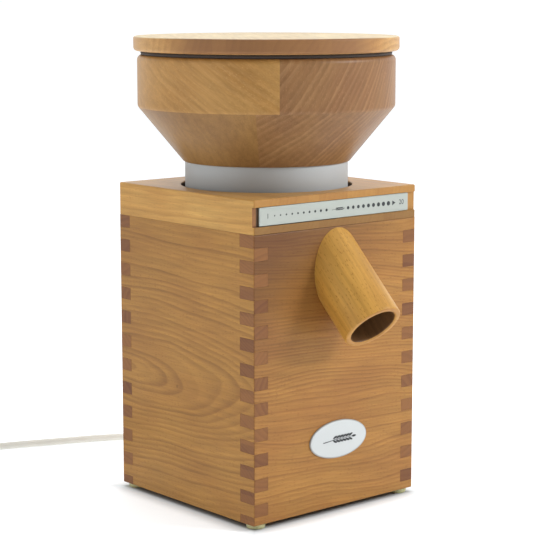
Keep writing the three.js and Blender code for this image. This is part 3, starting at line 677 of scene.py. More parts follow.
# Darker copies of the top's beech: painted shade for the groove, the wall of the hole and the lip
# below the groove.
beech_groove_shade, beech_lip_shade, beech_deep_shade = (
    beech(name, FRONT, LEFT, (0, 0, 261), tones, Ring=0.0044, Height=0.12)
    for name, *tones in (
        ("beech_groove_shade", (150, 104, 60), (134, 90, 52), (104, 68, 40), (150, 104, 62),
         (122, 80, 50)),
        ("beech_lip_shade", (144, 107, 58), (134, 95, 50), (110, 76, 40), (144, 107, 58), (130, 92, 48)),
        ("beech_deep_shade", (84, 60, 34), (74, 50, 28), (56, 38, 22), (84, 60, 34), (66, 44, 26)),
    )
)
SPOUT_TILT = math.radians(44.4)
SPOUT_AXIS = Vector((0, -math.cos(SPOUT_TILT), -math.sin(SPOUT_TILT)))
SPOUT_ROOT_Z = 198.6
# The second, darker copy of the spout's beech is painted shade for inside the bore.
beech_spout, beech_bore_shade = (
    beech(name, SPOUT_AXIS, UP, (0, -87, SPOUT_ROOT_Z), tones,
          Ring=0.0042, Height=0.05, Lean=0.03, Waver=0.02, Rings=rings, Seed=4.4, Flecks=flecks)
    for name, rings, flecks, *tones in (
        ("beech_spout", 0.18, 1.0, (200, 151, 70), (184, 134, 58), (156, 106, 44),
         (190, 142, 74), (166, 116, 56)),
        ("beech_spout_bore_shade", 0.2, 0.5, (112, 78, 46), (98, 66, 38), (66, 44, 28), (112, 78, 46),
         (98, 66, 38)),
    )
)


def bowl_beech(name, bearing, lean, *tones, **figure):
    """Beech of one block of the bowl, its grain lying across the bearing of its middle and
    rising to the right by lean degrees."""
    at = math.radians(bearing)
    outwards = Vector((math.cos(at), math.sin(at), 0))
    right = UP.cross(outwards)
    slope = math.radians(lean)
    along = right * math.cos(slope) + UP * math.sin(slope)
    up = outwards.cross(along)
    centre = (105 * outwards.x, 105 * outwards.y, 330)
    return beech(name, along, up, centre, tones, Lean=0.02, **figure)


bowl_left = bowl_beech(
    "beech_bowl_left", 200, -34, (172, 129, 71), (160, 116, 60), (192, 148, 90),
    Ring=0.006, Height=0.22, Waver=0.014, Rings=0.3, Seed=1.3,
)
bowl_right = bowl_beech(
    "beech_bowl_right", 275, 60, (136, 98, 61), (126, 86, 52), (164, 124, 84),
    Ring=0.0046, Height=-0.2, Depth=0.05, Waver=0.014, Seed=6.1,
)
bowl_low_left = bowl_beech(
    "beech_bowl_low_left", 200, -86, (145, 108, 62), (133, 97, 55), (112, 80, 46),
    Ring=0.006, Height=0.26, Depth=0.0, Waver=0.02, Rings=0.22, Seed=7.9,
)
bowl_low_right = bowl_beech(
    "beech_bowl_low_right", 275, 60, (134, 97, 60), (122, 85, 52), (162, 124, 84),
    Ring=0.0052, Height=-0.2, Depth=0.05, Waver=0.014, Rings=0.45, Seed=6.1,
)
LID_GRAIN = Vector((math.cos(math.radians(235)), math.sin(math.radians(235)), 0))
# The lid's top takes a paler copy of its beech: a painted sheen for the bright reflection on the
# top.
beech_lid, beech_lid_top_sheen = (
    beech(name, LID_GRAIN, UP.cross(LID_GRAIN), (0, 0, 382), tones,
          Ring=0.005, Height=0.09, Depth=0.04, Lean=0.03, Waver=0.02, Rings=rings, Seed=9.2)
    for name, rings, *tones in (
        ("beech_lid", 0.4, (188, 145, 88), (184, 136, 78), (146, 100, 54), (152, 108, 66),
         (132, 92, 58)),
        ("beech_lid_top_sheen", 0.35, (204, 184, 138), (195, 171, 124), (174, 142, 96)),
    )
)
plywood = beech(
    "birch_plywood", X_AXIS, Y_AXIS, (0, 0, 4),
    ((206, 178, 138), (196, 166, 124), (168, 132, 92), (170, 134, 92), (140, 102, 66)),
    Ring=0.012, Height=0.3, Depth=0.2, Lean=0.02, Waver=0.05, Rings=0.3, Seed=3.3,
)

strip_metal = metal("anodised_strip", (172, 176, 170), 0.5, (3.0, 1.0, 60.0), 0.04, 0.1)
badge_metal = metal("badge_plate", (203, 206, 206), 0.55, (60.0, 1.0, 60.0), 0.03, 0.06)
collar_metal = metal("turned_collar", (194, 196, 196), 0.8, (1.0, 1.0, 34.0), 0.03, 0.2, 0.6)
cast_metal = moulded("cast_aluminium", (172, 174, 176), 0.5, (140, 142, 145), 0.3, 0.0008,
                     Metallic=1.0)
steel = metal("zinc_steel", (176, 180, 186), 0.32, (6.0, 6.0, 30.0), 0.1)
sheet_steel = metal("motor_sheet_steel", (168, 172, 178), 0.4, (2.0, 30.0, 2.0), 0.1)
lamination = metal("stacked_sheets", (112, 114, 120), 0.5, (0.5, 0.5, 90.0), 0.1, 0.8)
copper = metal("enamelled_copper", (176, 92, 48), 0.38, (1.0, 1.0, 60.0), 0.1, 1.0)
brass = metal("plain_brass", (206, 176, 112), 0.3, (12.0, 12.0, 12.0), 0.06)
nickel = metal("plated_pin", (216, 214, 208), 0.22, (8.0, 40.0, 8.0), 0.05)
can_metal = metal("capacitor_can", (198, 200, 204), 0.34, (1.0, 1.0, 20.0), 0.04)
corundum = moulded("corundum_stone", (226, 220, 208), 0.92, (120, 108, 98), 0.65, 0.0009, 0.9)
black_plastic = moulded("black_plastic", (34, 34, 36), 0.42)
grey_plastic = moulded("grey_plastic", (92, 96, 100), 0.5)
pale_plastic = moulded("pale_plastic", (206, 204, 194), 0.48)
cord_sheath = moulded("cord_sheath", (231, 230, 222), 0.5, size=0.0004, bump=0.15)
strap_weave = moulded("strap_weave", (40, 40, 42), 0.75, (80, 80, 82), 0.5, 0.0005)
foot_rubber = moulded("foot_rubber", (192, 186, 138), 0.45, (172, 166, 118), 0.3, 0.0007,
                      Subsurface_Weight=0.12)
seal_rubber = moulded("seal_rubber", (58, 48, 42), 0.62)
felt = moulded("pressed_felt", (132, 124, 112), 0.96, (90, 84, 76), 0.5, 0.0005, 1.0)
print_ink = moulded("dark_print", (38, 40, 44), 0.6, size=0.0003, bump=0.1)
rim_ink = moulded("badge_edge", (164, 164, 162), 0.5, size=0.0003, bump=0.1)


# ---- Cabinet ------------------------------------------------------------------------------------

HALF = -box_mm("front_board").low[1]  # half the width of the cabinet
EDGE_EASING = 0.06


def read(elements, title):
    """One vector of each of a mesh's faces or points, as rows."""
    values = np.empty(len(elements) * 3, np.float32)
    elements.foreach_get(title, values)
    return values.reshape(-1, 3)


def face_centres(mesh):
    """Middle of each face in millimetres about the mill's axis."""
    return read(mesh.polygons, "center") / MM - AXIS


def tone_faces(mesh, index):
    """Gives each face the material of an index."""
    mesh.polygons.foreach_set("material_index", index.astype(np.int32))


def store_end_grain(mesh, share, domain="FACE"):
    """Stores how far each face or point looks along the grain: 0 for side, 1 for end grain."""
    attribute = mesh.attributes.new("end_grain", "FLOAT", domain)
    attribute.data.foreach_set("value", share.astype(np.float32))


def mark_end_grain(mesh, along):
    """Works out each face's end grain from the angle between its normal and the grain."""
    facing = np.abs(read(mesh.polygons, "normal") @ np.array(along, np.float32))
    store_end_grain(mesh, eased((facing - 0.5) / 0.3))


def eased_board(node, name, material, along, rounding=1.1):
    """A board's own shape with its doubles merged and its flat faces joined. Its outer upright
    corners are rounded and all other edges are just broken."""
    made = bmesh.new()
    made.from_mesh(frame["nodes"][node].data)
    bmesh.ops.remove_doubles(made, verts=made.verts, dist=1e-6)
    bmesh.ops.dissolve_limit(made, angle_limit=math.radians(1), verts=made.verts,
                             edges=made.edges)
    limit = (HALF - 0.02) * MM
    centre = Vector((AXIS[0] * MM, AXIS[1] * MM, 0))

    def is_corner(edge):
        ends = [vertex.co - centre for vertex in edge.verts]
        return all(abs(end.x) > limit and abs(end.y) > limit for end in ends)

    def bevel(edges, offset, segments):
        bmesh.ops.bevel(made, geom=edges, offset=offset * MM, segments=segments, profile=0.5,
                        affect="EDGES", clamp_overlap=False)

    outer = [edge for edge in made.edges if is_corner(edge)]
    if outer and rounding:
        bevel(outer, rounding, 5)
    sharp = [e for e in made.edges if e.is_manifold and e.calc_face_angle(0) > math.radians(40)]
    bevel(sharp, EDGE_EASING, 1)
    bmesh.ops.recalc_face_normals(made, faces=made.faces)
    mesh = bpy.data.meshes.new(name)
    made.to_mesh(mesh)
    made.free()
    mark_end_grain(mesh, along)
    return finished(name, mesh, material, node, smooth=0)


eased_board("front_board", "front_panel", beech_front, X_AXIS)
eased_board("back_board", "back_panel", beech_back, X_AXIS)
eased_board("left_board", "left_panel", beech_left, Y_AXIS)
eased_board("right_board", "right_panel", beech_right, Y_AXIS)
eased_board("base_plate", "bottom_panel", plywood, X_AXIS, 0)

GROOVE_LOW, GROOVE_HIGH, GROOVE_DEPTH = 240, 255.2, 2
GROOVE_SHADE_FROM = -83.6  # x beyond which the groove lies behind the strip and takes the deepest painted shade
TOP_HOLE = 70.7


def top_panel():
    """A slab as one closed loop of rows, each at a height: first the square outline drawn in by
    insets, then the round hole widened by them. Rows in the groove are held back in y."""
    slab = box_mm("top_plate")
    low, high = slab.low[2], slab.high[2]
    outline, normals = rounded_rectangle(2 * HALF, 2 * HALF, 1.5, 6, 80)
    edge = rounded(
        [(1.45, low), (0, low, 0.1), (0, high, 1.2), (1.45, high)], chords=6, hold=0.1,
    )
    hole = rounded([(6, high, 0), (0, high, 0.8), (0, low, 0.4), (6, low, 0)], chords=4)
    wall_start = int(np.argmax(edge[:, 1] > GROOVE_LOW))
    groove = np.array([[0, GROOVE_LOW], [0, GROOVE_LOW], [0, GROOVE_HIGH], [0, GROOVE_HIGH]])
    edge = np.concatenate([edge[:wall_start], groove, edge[wall_start:]])
    bearing = np.arctan2(outline[:, 1], outline[:, 0])
    spokes = np.stack([np.cos(bearing), np.sin(bearing)], -1)
    outer = outline[None] - edge[:, None, :1] * normals[None]
    inner = spokes[None] * (TOP_HOLE + hole[:, None, :1])
    flat = np.concatenate([outer, inner])
    height = np.concatenate([edge[:, 1], hole[:, 1]])
    height = np.broadcast_to(height[:, None, None], (*flat.shape[:2], 1))
    points = np.concatenate([flat, height], -1)
    held = points[wall_start + 1:wall_start + 3]
    held[..., 1] = np.maximum(held[..., 1], GROOVE_DEPTH - HALF)
    return points.reshape(-1, 3), grid_faces(len(points), len(outline), close_rows=True)


top = piece("top_panel", top_panel(), [beech_top, beech_groove_shade, beech_deep_shade, beech_lip_shade],
            "top_plate", smooth=0)
mark_end_grain(top.data, Y_AXIS)


def assign_top(mesh):
    """Paints shade on the groove, the hole's wall and the lip below the groove with darker beech.
    """
    x, y, z = face_centres(mesh).T
    in_front = (y < -HALF + GROOVE_DEPTH + 0.3) & (np.abs(x) < HALF)
    beside_strip = (x < 0) & (z > GROOVE_LOW - 0.1) & (z < GROOVE_HIGH + 0.1)
    groove = in_front & (y > -HALF + 0.2) & beside_strip
    hole = (np.hypot(x, y) < TOP_HOLE + 0.3) & (z < 260)
    lip = in_front & (y < -HALF + 0.2) & (z < GROOVE_LOW)
    # Painted shade: the groove behind the strip takes the darkest beech.
    dark = groove & (x > GROOVE_SHADE_FROM)
    tone_faces(mesh, np.select([dark, groove, hole, lip], [2, 1, 2, 3], 0))


assign_top(top.data)

for number in range(1, 5):
    foot = box_mm(f"foot_{number}")
    reach = foot.size[0] / 2
    profile = rounded([(0, 0), (reach - 0.4, 0, 1.4), (reach, 3.9, 0.3), (0, 3.9)])
    piece(f"bumper_{number}", turned(profile, 48, about=foot.middle[:2]), foot_rubber,
          f"foot_{number}")
    screw = turned(rounded([
        (0, 4.6), (1.1, 4.6, 0.2), (1.4, 3.4, 0.2), (3.4, 3.0, 0.3), (3.9, 3.96), (0, 3.96),
    ]), 32, about=foot.middle[:2] * 0.72)
    piece(f"bottom_screw_{number}", screw, steel)


# ---- Scale strip and badge ----------------------------------------------------------------------

def inlays(outlines, back, front):
    """Closed thin plates from outlines in x and z: each outline at two depths, joined by its
    side and covered by two flat faces."""
    outlines = np.asarray(outlines, float)
    count, size = outlines.shape[:2]
    depth = np.array([back, front])[None, :, None]
    x = np.broadcast_to(outlines[:, None, :, 0], (count, 2, size))
    z = np.broadcast_to(outlines[:, None, :, 1], (count, 2, size))
    points = np.stack([x, np.broadcast_to(depth, x.shape), z], -1).reshape(-1, 3)
    start = np.arange(count)[:, None] * 2 * size
    around = np.arange(size)[None]
    following = (around + 1) % size
    sides = np.stack([
        start + around,
        start + following,
        start + size + following,
        start + size + around,
    ], -1).reshape(-1, 4)
    covers = np.concatenate([start + around, start + size + around[:, ::-1]])
    return points, sides.tolist() + covers.tolist()


def discs(x, z, radius, sides=20):
    """Round outlines about given points."""
    x, z, radius = np.broadcast_arrays(*(np.atleast_1d(v).astype(float) for v in (x, z, radius)))
    angle = np.arange(sides) * TAU / sides
    return np.stack([
        x[:, None] + radius[:, None] * np.cos(angle),
        z[:, None] + radius[:, None] * np.sin(angle),
    ], -1)


def kernels(x, z, length, width, lean, sides=20):
    """Grain kernels: along (t from -1 to 1) length t / 2, across width (1 - t^2)^0.8 / 2, and
    each turned by its lean in degrees."""
    turn = np.linspace(0, TAU, sides, endpoint=False)
    t = np.cos(turn)
    along = length / 2 * t
    across = np.sign(np.sin(turn)) * width / 2 * np.maximum(1 - t * t, 0) ** 0.8
    lean = np.radians(np.atleast_1d(lean))[:, None]
    return np.stack([
        np.atleast_1d(x)[:, None] + along * np.cos(lean) - across * np.sin(lean),
        np.atleast_1d(z)[:, None] + along * np.sin(lean) + across * np.cos(lean),
    ], -1)


def wheat_ear(x, z, size):
    """A lying ear: pairs of kernels along a stalk that lean away from it, and one at its tip."""
    share = np.arange(6) / 5
    at = x + size * (-0.12 + 0.5 * share)
    spread = size * 0.052
    kernel_size = size * 0.15, size * 0.055
    upper = kernels(at, z + spread + 0 * at, *kernel_size, 24 + 0 * at)
    lower = kernels(at, z - spread + 0 * at, *kernel_size, -24 + 0 * at)
    tip = kernels(x + size * 0.49, z, *kernel_size, 0)
    stalk = [x, z] + size * np.array([[
        [-0.5, -0.045], [-0.3, -0.03], [-0.1, -0.008], [0.42, -0.006],
        [0.42, 0.006], [-0.1, 0.008], [-0.3, -0.012], [-0.5, -0.022],
    ]])
    return upper, lower, tip, stalk


strip, badge = box_mm("scale_strip"), box_mm("front_badge")
outline, normals = rounded_rectangle(strip.size[0], strip.size[2], 0.5, 4)
thick = strip.size[1]
plate_profile = rounded([(0, 0), (0, thick, 0.25), (0.6, thick)], chords=3, hold=0.05)
plate = capped(lofted(outline, normals, plate_profile), len(outline))
piece("scale_plate", facing_front(plate, (strip.middle[0], strip.high[1], strip.middle[2])),
      strip_metal, "scale_strip", smooth=0)

INK, SUNK = 0.05, 0.02  # how far print stands out of a plate and reaches into it
ink_back, ink_front = strip.low[1] + SUNK, strip.low[1] - INK
dot_z = strip.middle[2]
fine_dots = discs(-65.6 + 6.0 * np.arange(10), dot_z, np.linspace(0.6, 1.15, 10))
coarse_dots = discs(11.7 + 5.6 * np.arange(9), dot_z, np.linspace(1.3, 1.85, 9))
arrow = np.array([[[60.9, dot_z - 1.9], [64.6, dot_z], [60.9, dot_z + 1.9]]])
marks = [inlays(shape, ink_back, ink_front)
         for shape in (fine_dots, coarse_dots, arrow, *wheat_ear(0.6, dot_z, 13))]


def numeral(text, x, z, size):
    """A plain number as a flat mesh: the outline font's own faces, given a thickness."""
    letters = bpy.data.curves.new("numeral", "FONT")
    letters.body = text
    letters.size = size
    letters.align_x = "CENTER"
    letters.align_y = "CENTER"
    letters.extrude = INK / 2
    holder = bpy.data.objects.new("numeral", letters)
    mesh = bpy.data.meshes.new_from_object(holder)
    points = np.array([vertex.co for vertex in mesh.vertices])
    faces = [list(polygon.vertices) for polygon in mesh.polygons]
    bpy.data.objects.remove(holder)
    return facing_front((points, faces), (x, (ink_back + ink_front) / 2, z))


marks += [numeral("1", -72.5, dot_z, 5.6), numeral("20", 71.2, dot_z, 5.6)]
piece("scale_marks", marks, print_ink, smooth=0)


def oval_plate(profile):
    """The badge's oval carried up a profile and stood on the front of the mill."""
    turn = np.linspace(0, TAU, 96, endpoint=False)
    round_it, axes = np.stack([np.cos(turn), np.sin(turn)], -1), badge.size[[0, 2]]
    surface = capped(lofted(axes / 2 * round_it, unit(round_it / axes), profile), len(turn))
    return facing_front(surface, (badge.middle[0], badge.high[1], badge.middle[2]))


rim_profile = rounded([(0, 0), (0, 1.15, 0.3), (1.1, 1.15)], chords=4, hold=0.05)
face_profile = rounded([(0.75, 0.4), (0.75, badge.size[1], 0.3), (3, badge.size[1])], hold=0.1)
piece("badge_rim", oval_plate(rim_profile), rim_ink)
piece("badge_face", oval_plate(face_profile), badge_metal, "front_badge")
badge_ear = [inlays(shape, badge.low[1] + SUNK, badge.low[1] - INK)
             for shape in wheat_ear(badge.middle[0], badge.middle[2], 34)]
piece("badge_ear", badge_ear, print_ink, smooth=0)


# ---- Spout --------------------------------------------------------------------------------------

SPOUT_BORE = 19.4


def spout():
    """Circles about the slanting axis, with each point's distance down the axis held to where it
    meets the front board: t is at least (gap - r sin(tilt) sin a) / cos(tilt)."""
    radius, bore, length, gap, buried = 24.6, SPOUT_BORE, 58.3, 0.06, -60
    profile = rounded([
        (bore, buried), (radius, buried), (radius, length, 1.6), (bore, length, 1.9),
    ], closed=True, chords=8, hold=0.6)
    angle = np.linspace(0, TAU, 144, endpoint=False)
    cos, sin = math.cos(SPOUT_TILT), math.sin(SPOUT_TILT)
    r = profile[:, :1] + 0 * angle
    root = (gap - r * sin * np.sin(angle)) / cos
    t = np.maximum(profile[:, 1:] + 0 * angle, root)
    points = np.stack([
        r * np.cos(angle),
        -HALF - t * cos - r * np.sin(angle) * sin,
        SPOUT_ROOT_Z - t * sin + r * np.sin(angle) * cos,
    ], -1)
    return points.reshape(-1, 3), grid_faces(len(profile), len(angle), close_rows=True)


spout_piece = piece("meal_spout", spout(), [beech_spout, beech_bore_shade], "spout")
mark_end_grain(spout_piece.data, SPOUT_AXIS)


def assign_bore(mesh):
    """Paints shade into the bore with the spout's darker beech: faces nearer to the slanting axis
    than just over its radius."""
    from_root = face_centres(mesh) - [0, -HALF, SPOUT_ROOT_Z]
    axis = np.array(SPOUT_AXIS)
    off_axis = from_root - (from_root @ axis)[:, None] * axis
    tone_faces(mesh, np.linalg.norm(off_axis, axis=1) < SPOUT_BORE + 0.3)


assign_bore(spout_piece.data)


# ---- Hopper -------------------------------------------------------------------------------------

def ring_box(node):
    """Radius, lowest and highest height of a turned node."""
    box = box_mm(node)
    return box.size[0] / 2, box.low[2], box.high[2]


bowl_radius, bowl_low, bowl_high = ring_box("hopper_bowl")
lid_radius, lid_low, lid_high = ring_box("hopper_lid")
seal_radius, seal_low, seal_high = ring_box("lid_seal")
collar_radius, collar_low, collar_high = ring_box("collar_ring")
BOWL_KINK = bowl_low + 44.9
BOWL_WALL, BOWL_BASE, FUNNEL_RADIUS = 11.7, 68.8, 52.8
STAVE_JOINT, LOW_JOINT = 235, 224  # bearing in degrees of one glue joint of each row of blocks

bowl_slope = (BOWL_KINK - bowl_low) / (bowl_radius - BOWL_BASE)
inner_radius = bowl_radius - BOWL_WALL
inner_kink = bowl_low + (inner_radius - FUNNEL_RADIUS) * bowl_slope
bowl_profile = rounded([
    (FUNNEL_RADIUS, bowl_low), (BOWL_BASE, bowl_low, 0.6), (bowl_radius, BOWL_KINK, 5),
    (bowl_radius, bowl_high, 4), (inner_radius, bowl_high, 1.5), (inner_radius, inner_kink, 8),
], closed=True, chords=8)
bowl_blocks = [bowl_left, bowl_right, bowl_low_left, bowl_low_right]
bowl = piece("grain_bowl", turned(bowl_profile, 144, True), bowl_blocks, "hopper_bowl")


def assign_staves(mesh):
    """Gives each face of the bowl the block it is cut from: by its bearing, in quarter turns
    from the joint, and by whether it lies on the cone below the widest line."""
    x, y, z = face_centres(mesh).T
    cone_radius = BOWL_BASE + (z - bowl_low) / bowl_slope
    low = (np.hypot(x, y) > cone_radius - 3) & (z < BOWL_KINK - 0.5)
    joint = np.where(low, LOW_JOINT, STAVE_JOINT)
    quarter = np.floor((np.degrees(np.arctan2(y, x)) - joint) / 90).astype(int) % 2
    tone_faces(mesh, np.where(quarter == 0, 1, 0) + np.where(low, 2, 0))
    store_end_grain(mesh, 0 * x)


assign_staves(bowl.data)

lid_boss = inner_radius - 1.5
lid_profile = rounded([
    (0, lid_low), (lid_boss, lid_low, 1), (lid_boss, seal_high + 0.1),
    (lid_radius, seal_high + 0.1, 3), (lid_radius, lid_high, 1.6), (0, lid_high),
], chords=8)
lid = piece("lid_disc", turned(lid_profile, 144), [beech_lid, beech_lid_top_sheen], "hopper_lid")
# Painted sheen: the lid's top faces take the paler copy of its beech.
tone_faces(lid.data, face_centres(lid.data)[:, 2] > lid_high - 0.5)


def mark_lid_ends(mesh):
    """Stores on each point of the lid's rim how far it looks along the grain: the square of the
    cosine between its bearing and the grain, and nothing inside the rim."""
    x, y, _ = (read(mesh.vertices, "co") / MM - AXIS).T
    radius = np.hypot(x, y)
    facing = (x * LID_GRAIN.x + y * LID_GRAIN.y) / np.maximum(radius, 1)
    share = eased((facing ** 2 - 0.25) / 0.5) * eased((radius - lid_radius + 2.2) / 1.2)
    store_end_grain(mesh, share, "POINT")


mark_lid_ends(lid.data)

seal_profile = rounded([
    (lid_boss + 0.3, seal_low), (seal_radius - 0.6, seal_low, 0.4),
    (seal_radius, (seal_low + seal_high) / 2, 0.8), (seal_radius - 0.6, seal_high, 0.4),
    (lid_boss + 0.3, seal_high),
], closed=True, chords=4, hold=0.05)
piece("lid_gasket", turned(seal_profile, 128, True), seal_rubber, "lid_seal")

thread = 59.8
collar_profile = rounded([
    (thread - 5.8, collar_low), (thread, collar_low, 0.4), (thread, collar_low + 18),
    (collar_radius, collar_low + 18, 0.5), (collar_radius, collar_high, 0.5),
    (FUNNEL_RADIUS, collar_high), (FUNNEL_RADIUS, collar_high - 3.3),
    (collar_radius - 3.2, collar_high - 3.3), (collar_radius - 3.2, collar_low + 22),
    (thread, collar_low + 19), (47, collar_low + 19), (47, collar_low + 13.3),
    (thread - 5.8, collar_low + 13.3),
], closed=True, chords=4)
piece("collar_sleeve", turned(collar_profile, 160, True), collar_metal, "collar_ring")

funnel_radius, funnel_low, funnel_high = ring_box("feed_funnel")
throat = 17
funnel_profile = rounded([
    (throat, funnel_low, 0.4), (throat + 3, funnel_low, 0.4), (throat + 3, funnel_low + 19, 1),
    (funnel_radius, funnel_high - 3.8, 0.5), (funnel_radius, funnel_high, 0.3),
    (funnel_radius - 1.1, funnel_high, 0.3), (throat, funnel_low + 21, 3),
], closed=True, chords=5, hold=0.1)
piece("inner_funnel", turned(funnel_profile, 96, True), pale_plastic, "feed_funnel")

guard_reach, guard_low, guard_high = ring_box("throat_guard")
guard_middle = (guard_low + guard_high) / 2
wire = (guard_high - guard_low) / 2
hoop_radius = guard_reach - wire
circle = np.linspace(0, TAU, 16, endpoint=False)
hoop = np.stack([hoop_radius + wire * np.cos(circle), guard_middle + wire * np.sin(circle)], -1)
spoke_x = np.linspace(-hoop_radius, hoop_radius, 9)
spoke = np.stack([spoke_x, 0 * spoke_x, guard_middle + 0 * spoke_x], -1)
spokes = [tube(path, wire * 0.85) for path in (spoke, spoke[:, [1, 0, 2]])]
piece("finger_guard", [turned(hoop, 64, True), *spokes], steel, "throat_guard")


# ---- Switch and lead exit -----------------------------------------------------------------------

switch, gland, relief, tie_box, plug_box = (
    box_mm(node)
    for node in ("switch_frame", "cable_gland", "strain_relief", "cord_tie", "plug_body")
)
SEAT = HALF + 0.1  # where pieces rest on the back board

outline, normals = rounded_rectangle(switch.size[0], switch.size[2], 2.2, 6)
frame_profile = rounded([
    (0, SEAT), (0, switch.high[1], 1.2), (5, switch.high[1], 0.5), (5, 66), (3.3, 62), (3.3, SEAT),
], closed=True, chords=4, hold=0.1)
piece("switch_surround", along_y(lofted(outline, normals, frame_profile, True), switch.middle),
      black_plastic, "switch_frame")

gland_end = gland.high[1]
gland_profile = rounded([
    (0, 64), (6.8, 64), (6.8, SEAT), (9.5, SEAT, 0.3), (9.5, gland_end, 0.9),
    (6.9, gland_end, 0.2), (0, gland_end - 0.4),
], chords=4, hold=0.1)
piece("lead_gland", along_y(turned(gland_profile, 48), gland.middle), cord_sheath, "cable_gland")


def relief_profile():
    """A taper from 6.6 to 4 with ring grooves: radius less 0.9 times the fourth power of a
    cosine along it, and plain ends."""
    share = np.linspace(0, 1, 121)
    taper = 6.6 + (4.0 - 6.6) * share
    grooved = eased(share / 0.1) * eased((0.93 - share) / 0.1)
    groove = 0.9 * np.cos(share * math.pi * 7) ** 4 * grooved
    y = relief.low[1] + 0.02 + share * relief.size[1]
    outside = np.stack([taper - groove, y], -1)
    return np.concatenate([[[0, y[0]]], outside, [[3.2, y[-1] + 0.3], [0, y[-1] + 0.3]]])


piece("lead_boot", along_y(turned(relief_profile(), 40), gland.middle), cord_sheath,
      "strain_relief")

cord = piece("mains_lead", tube(cord_path, CORD_RADIUS, 14), cord_sheath, "power_cord",
             smooth=60)
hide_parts("cord_coil", "cord_tail")


def strap():
    """A flat band round the coil's turns: a rounded rectangle in y and z, carried along x by a
    profile that closes on itself."""
    outline, normals = rounded_rectangle(tie_box.size[1], tie_box.size[2], 3.2, 8)
    width = tie_box.size[0] / 2
    profile = rounded([
        (0.8, -width, 0.3), (0.8, width, 0.3), (0, width, 0.3), (0, -width, 0.3),
    ], closed=True, chords=3, hold=0.05)
    points, faces = lofted(outline, normals, profile, True)
    return points[:, [2, 0, 1]] + tie_box.middle, faces


tie = piece("lead_strap", strap(), strap_weave, "cord_tie")


def plug():
    """A turned plug whose radius is drawn in by grip ribs along the neck and by two flats at the
    sides: r(y, a) = profile less ribs(y) less flat depth times the sixth power of |cos a|."""
    face, neck = plug_box.low[1], plug_box.high[1]
    profile = rounded([
        (0, face + 1.2), (15.2, face + 1.2, 0.4), (15.8, face, 0.5), (18.5, face, 1.0),
        (18.5, face + 19, 3), (13.5, face + 23, 3), (7.6, face + 27, 4), (4.6, neck, 0.8),
        (0, neck),
    ], chords=6)
    length = lengths(profile) / lengths(profile)[-1]
    at = np.unique(np.concatenate([np.linspace(0, 1, 240), length]))
    radius, y = (np.interp(at, length, profile[:, axis]) for axis in (0, 1))
    ribs = 0.55 * np.maximum(np.cos((y - face) * TAU / 3.2), 0) ** 2
    ribs *= eased((y - face - 26) / 3) * eased((neck - 2 - y) / 3) * (radius > 3)
    angle = np.arange(72) * TAU / 72
    flattened = eased((y - face - 1.5) / 2) * eased((radius - 9) / 4)
    r = (radius - ribs)[:, None] - 2.2 * np.abs(np.cos(angle)) ** 6 * flattened[:, None]
    points = np.stack([r * np.cos(angle), r * np.sin(angle), y[:, None] + 0 * angle], -1)
    return along_y((points.reshape(-1, 3), grid_faces(len(y), len(angle))), plug_box.middle)


plug_piece = piece("lead_plug", plug(), cord_sheath, "plug_body", smooth=50)
for side in ("left", "right"):
    pin = box_mm(f"plug_pin_{side}")
    tip, root = pin.low[1], pin.high[1]
    profile = rounded([(0, tip), (2.4, tip, 1.6), (2.4, root), (0, root)], chords=8)
    piece(f"lead_pin_{side}", along_y(turned(profile, 32), pin.middle), nickel,
                      f"plug_pin_{side}")


# ---- Finishes of the nodes that keep their shape ------------------------------------------------

FINISHES = {
    cast_metal: ["milling_chamber", "stone_carrier", "upper_bell", "lower_bell"],
    corundum: ["lower_stone", "upper_stone"],
    steel: [
        "sweeper_left", "sweeper_right", "feed_agitator", "motor_shaft", "upper_bearing",
        "lower_bearing", "capacitor_clip", *(f"hanging_post_{n}" for n in range(1, 5)),
    ],
    sheet_steel: ["motor_plate"],
    brass: ["stone_nut"],
    lamination: ["motor_stator", "motor_rotor"],
    copper: ["upper_winding", "lower_winding"],
    black_plastic: ["cooling_fan", "switch_rocker"],
    grey_plastic: ["stone_holder"],
    pale_plastic: ["terminal_block"],
    can_metal: ["run_capacitor"],
    felt: ["shaft_seal", "dust_seal"],
}
for finish, nodes in FINISHES.items():
    for name in nodes:
        slots = frame["nodes"][name].data.materials
        slots.clear()
        slots.append(finish)


# ---- Floor, light and view ----------------------------------------------------------------------

def floor():
    """A wide round table top: rings of points at growing radii, at height 0."""
    radius = np.geomspace(0.2, 60, 24) / MM
    points, faces = turned(np.stack([radius, 0 * radius], -1), 64)
    return points, faces.tolist() + [list(range(64))]


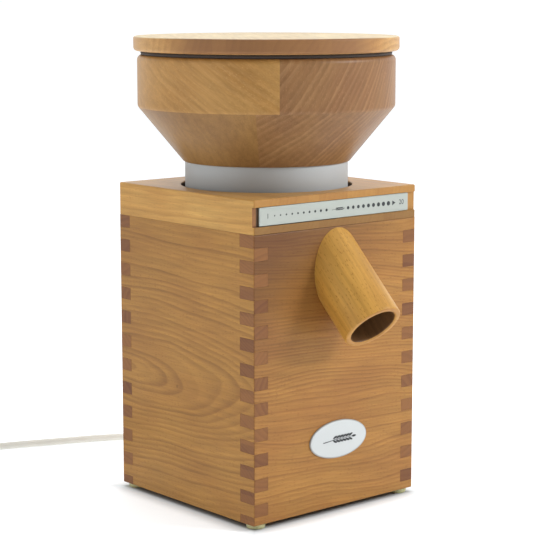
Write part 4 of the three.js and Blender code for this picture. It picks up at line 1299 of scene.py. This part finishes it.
table_finish = bpy.data.materials.new("white_table")
table_finish.use_nodes = True
table_surface = table_finish.node_tree.nodes["Principled BSDF"]
table_surface.inputs["Roughness"].default_value = 0.9
table_surface.inputs["Specular IOR Level"].default_value = 0.1
table_surface.inputs["Emission Color"].default_value = (1, 1, 1, 1)
table_tree = table_finish.node_tree
table_place = Flow(add(table_tree, "TexCoord").outputs["Object"]).plus(tuple(-AXIS * MM))
table_x, table_y, _ = table_place.parts()
from_middle = table_x.math("ABSOLUTE").math("MAXIMUM", table_y.math("ABSOLUTE"))
glow = from_middle.eased(0.083, 0.105, 0.0, 0.44)
table_tree.links.new(glow.socket, table_surface.inputs["Emission Strength"])
# Painted shadow: under the cabinet the table's colour drops from 0.87 to 0.42.
level = from_middle.eased(0.081, 0.09, 0.42, 0.87)
tint = add(table_tree, "CombineColor", {0: level * 0.93, 1: level * 0.97, 2: level}).outputs[0]
table_tree.links.new(tint, table_surface.inputs["Base Color"])
table_mesh = bpy.data.meshes.new("table")
table_points, table_faces = floor()
table_mesh.from_pydata(placed(table_points).tolist(), [], table_faces)
table_mesh.materials.append(table_finish)
table = bpy.data.objects.new("table", table_mesh)
bpy.context.scene.collection.objects.link(table)

world = bpy.data.worlds.new("tent")
bpy.context.scene.world = world
world.use_nodes = True
sky = world.node_tree
camera_side = Flow(add(sky, "VectorMath", {
    0: add(sky, "TexCoord").outputs["Generated"],
    1: tuple(towards_camera),
}, operation="DOT_PRODUCT").outputs["Value"])
shade = camera_side.eased(-0.9, -0.3, 1.7, 0.8) * camera_side.eased(0.2, 0.95, 0.9, 0.2)
sky.links.new(shade.socket, sky.nodes["Background"].inputs["Strength"])
sky.nodes["Background"].inputs["Color"].default_value = (1, 1, 1, 1)


def softbox(name, at, aim, size, watts):
    """A square area light that looks at a point, both in metres."""
    light = bpy.data.lights.new(name, "AREA")
    light.shape = "SQUARE"
    light.size = size
    light.energy = watts
    lamp = bpy.data.objects.new(name, light)
    lamp.location = at
    lamp.rotation_mode = "QUATERNION"
    lamp.rotation_quaternion = (Vector(aim) - Vector(at)).to_track_quat("-Z", "Y")
    bpy.context.scene.collection.objects.link(lamp)


softbox("overhead", (0.1, 0.3, 1.9), (0, 0, 0.2), 1.6, 14)
softbox("left_side", (-2.0, 0.3, 0.9), (0, 0, 0.2), 2.0, 9)
softbox("right_key", (1.1, -1.3, 1.1), (0, 0, 0.2), 0.6, 21)

bpy.context.scene.view_settings.view_transform = "Standard"
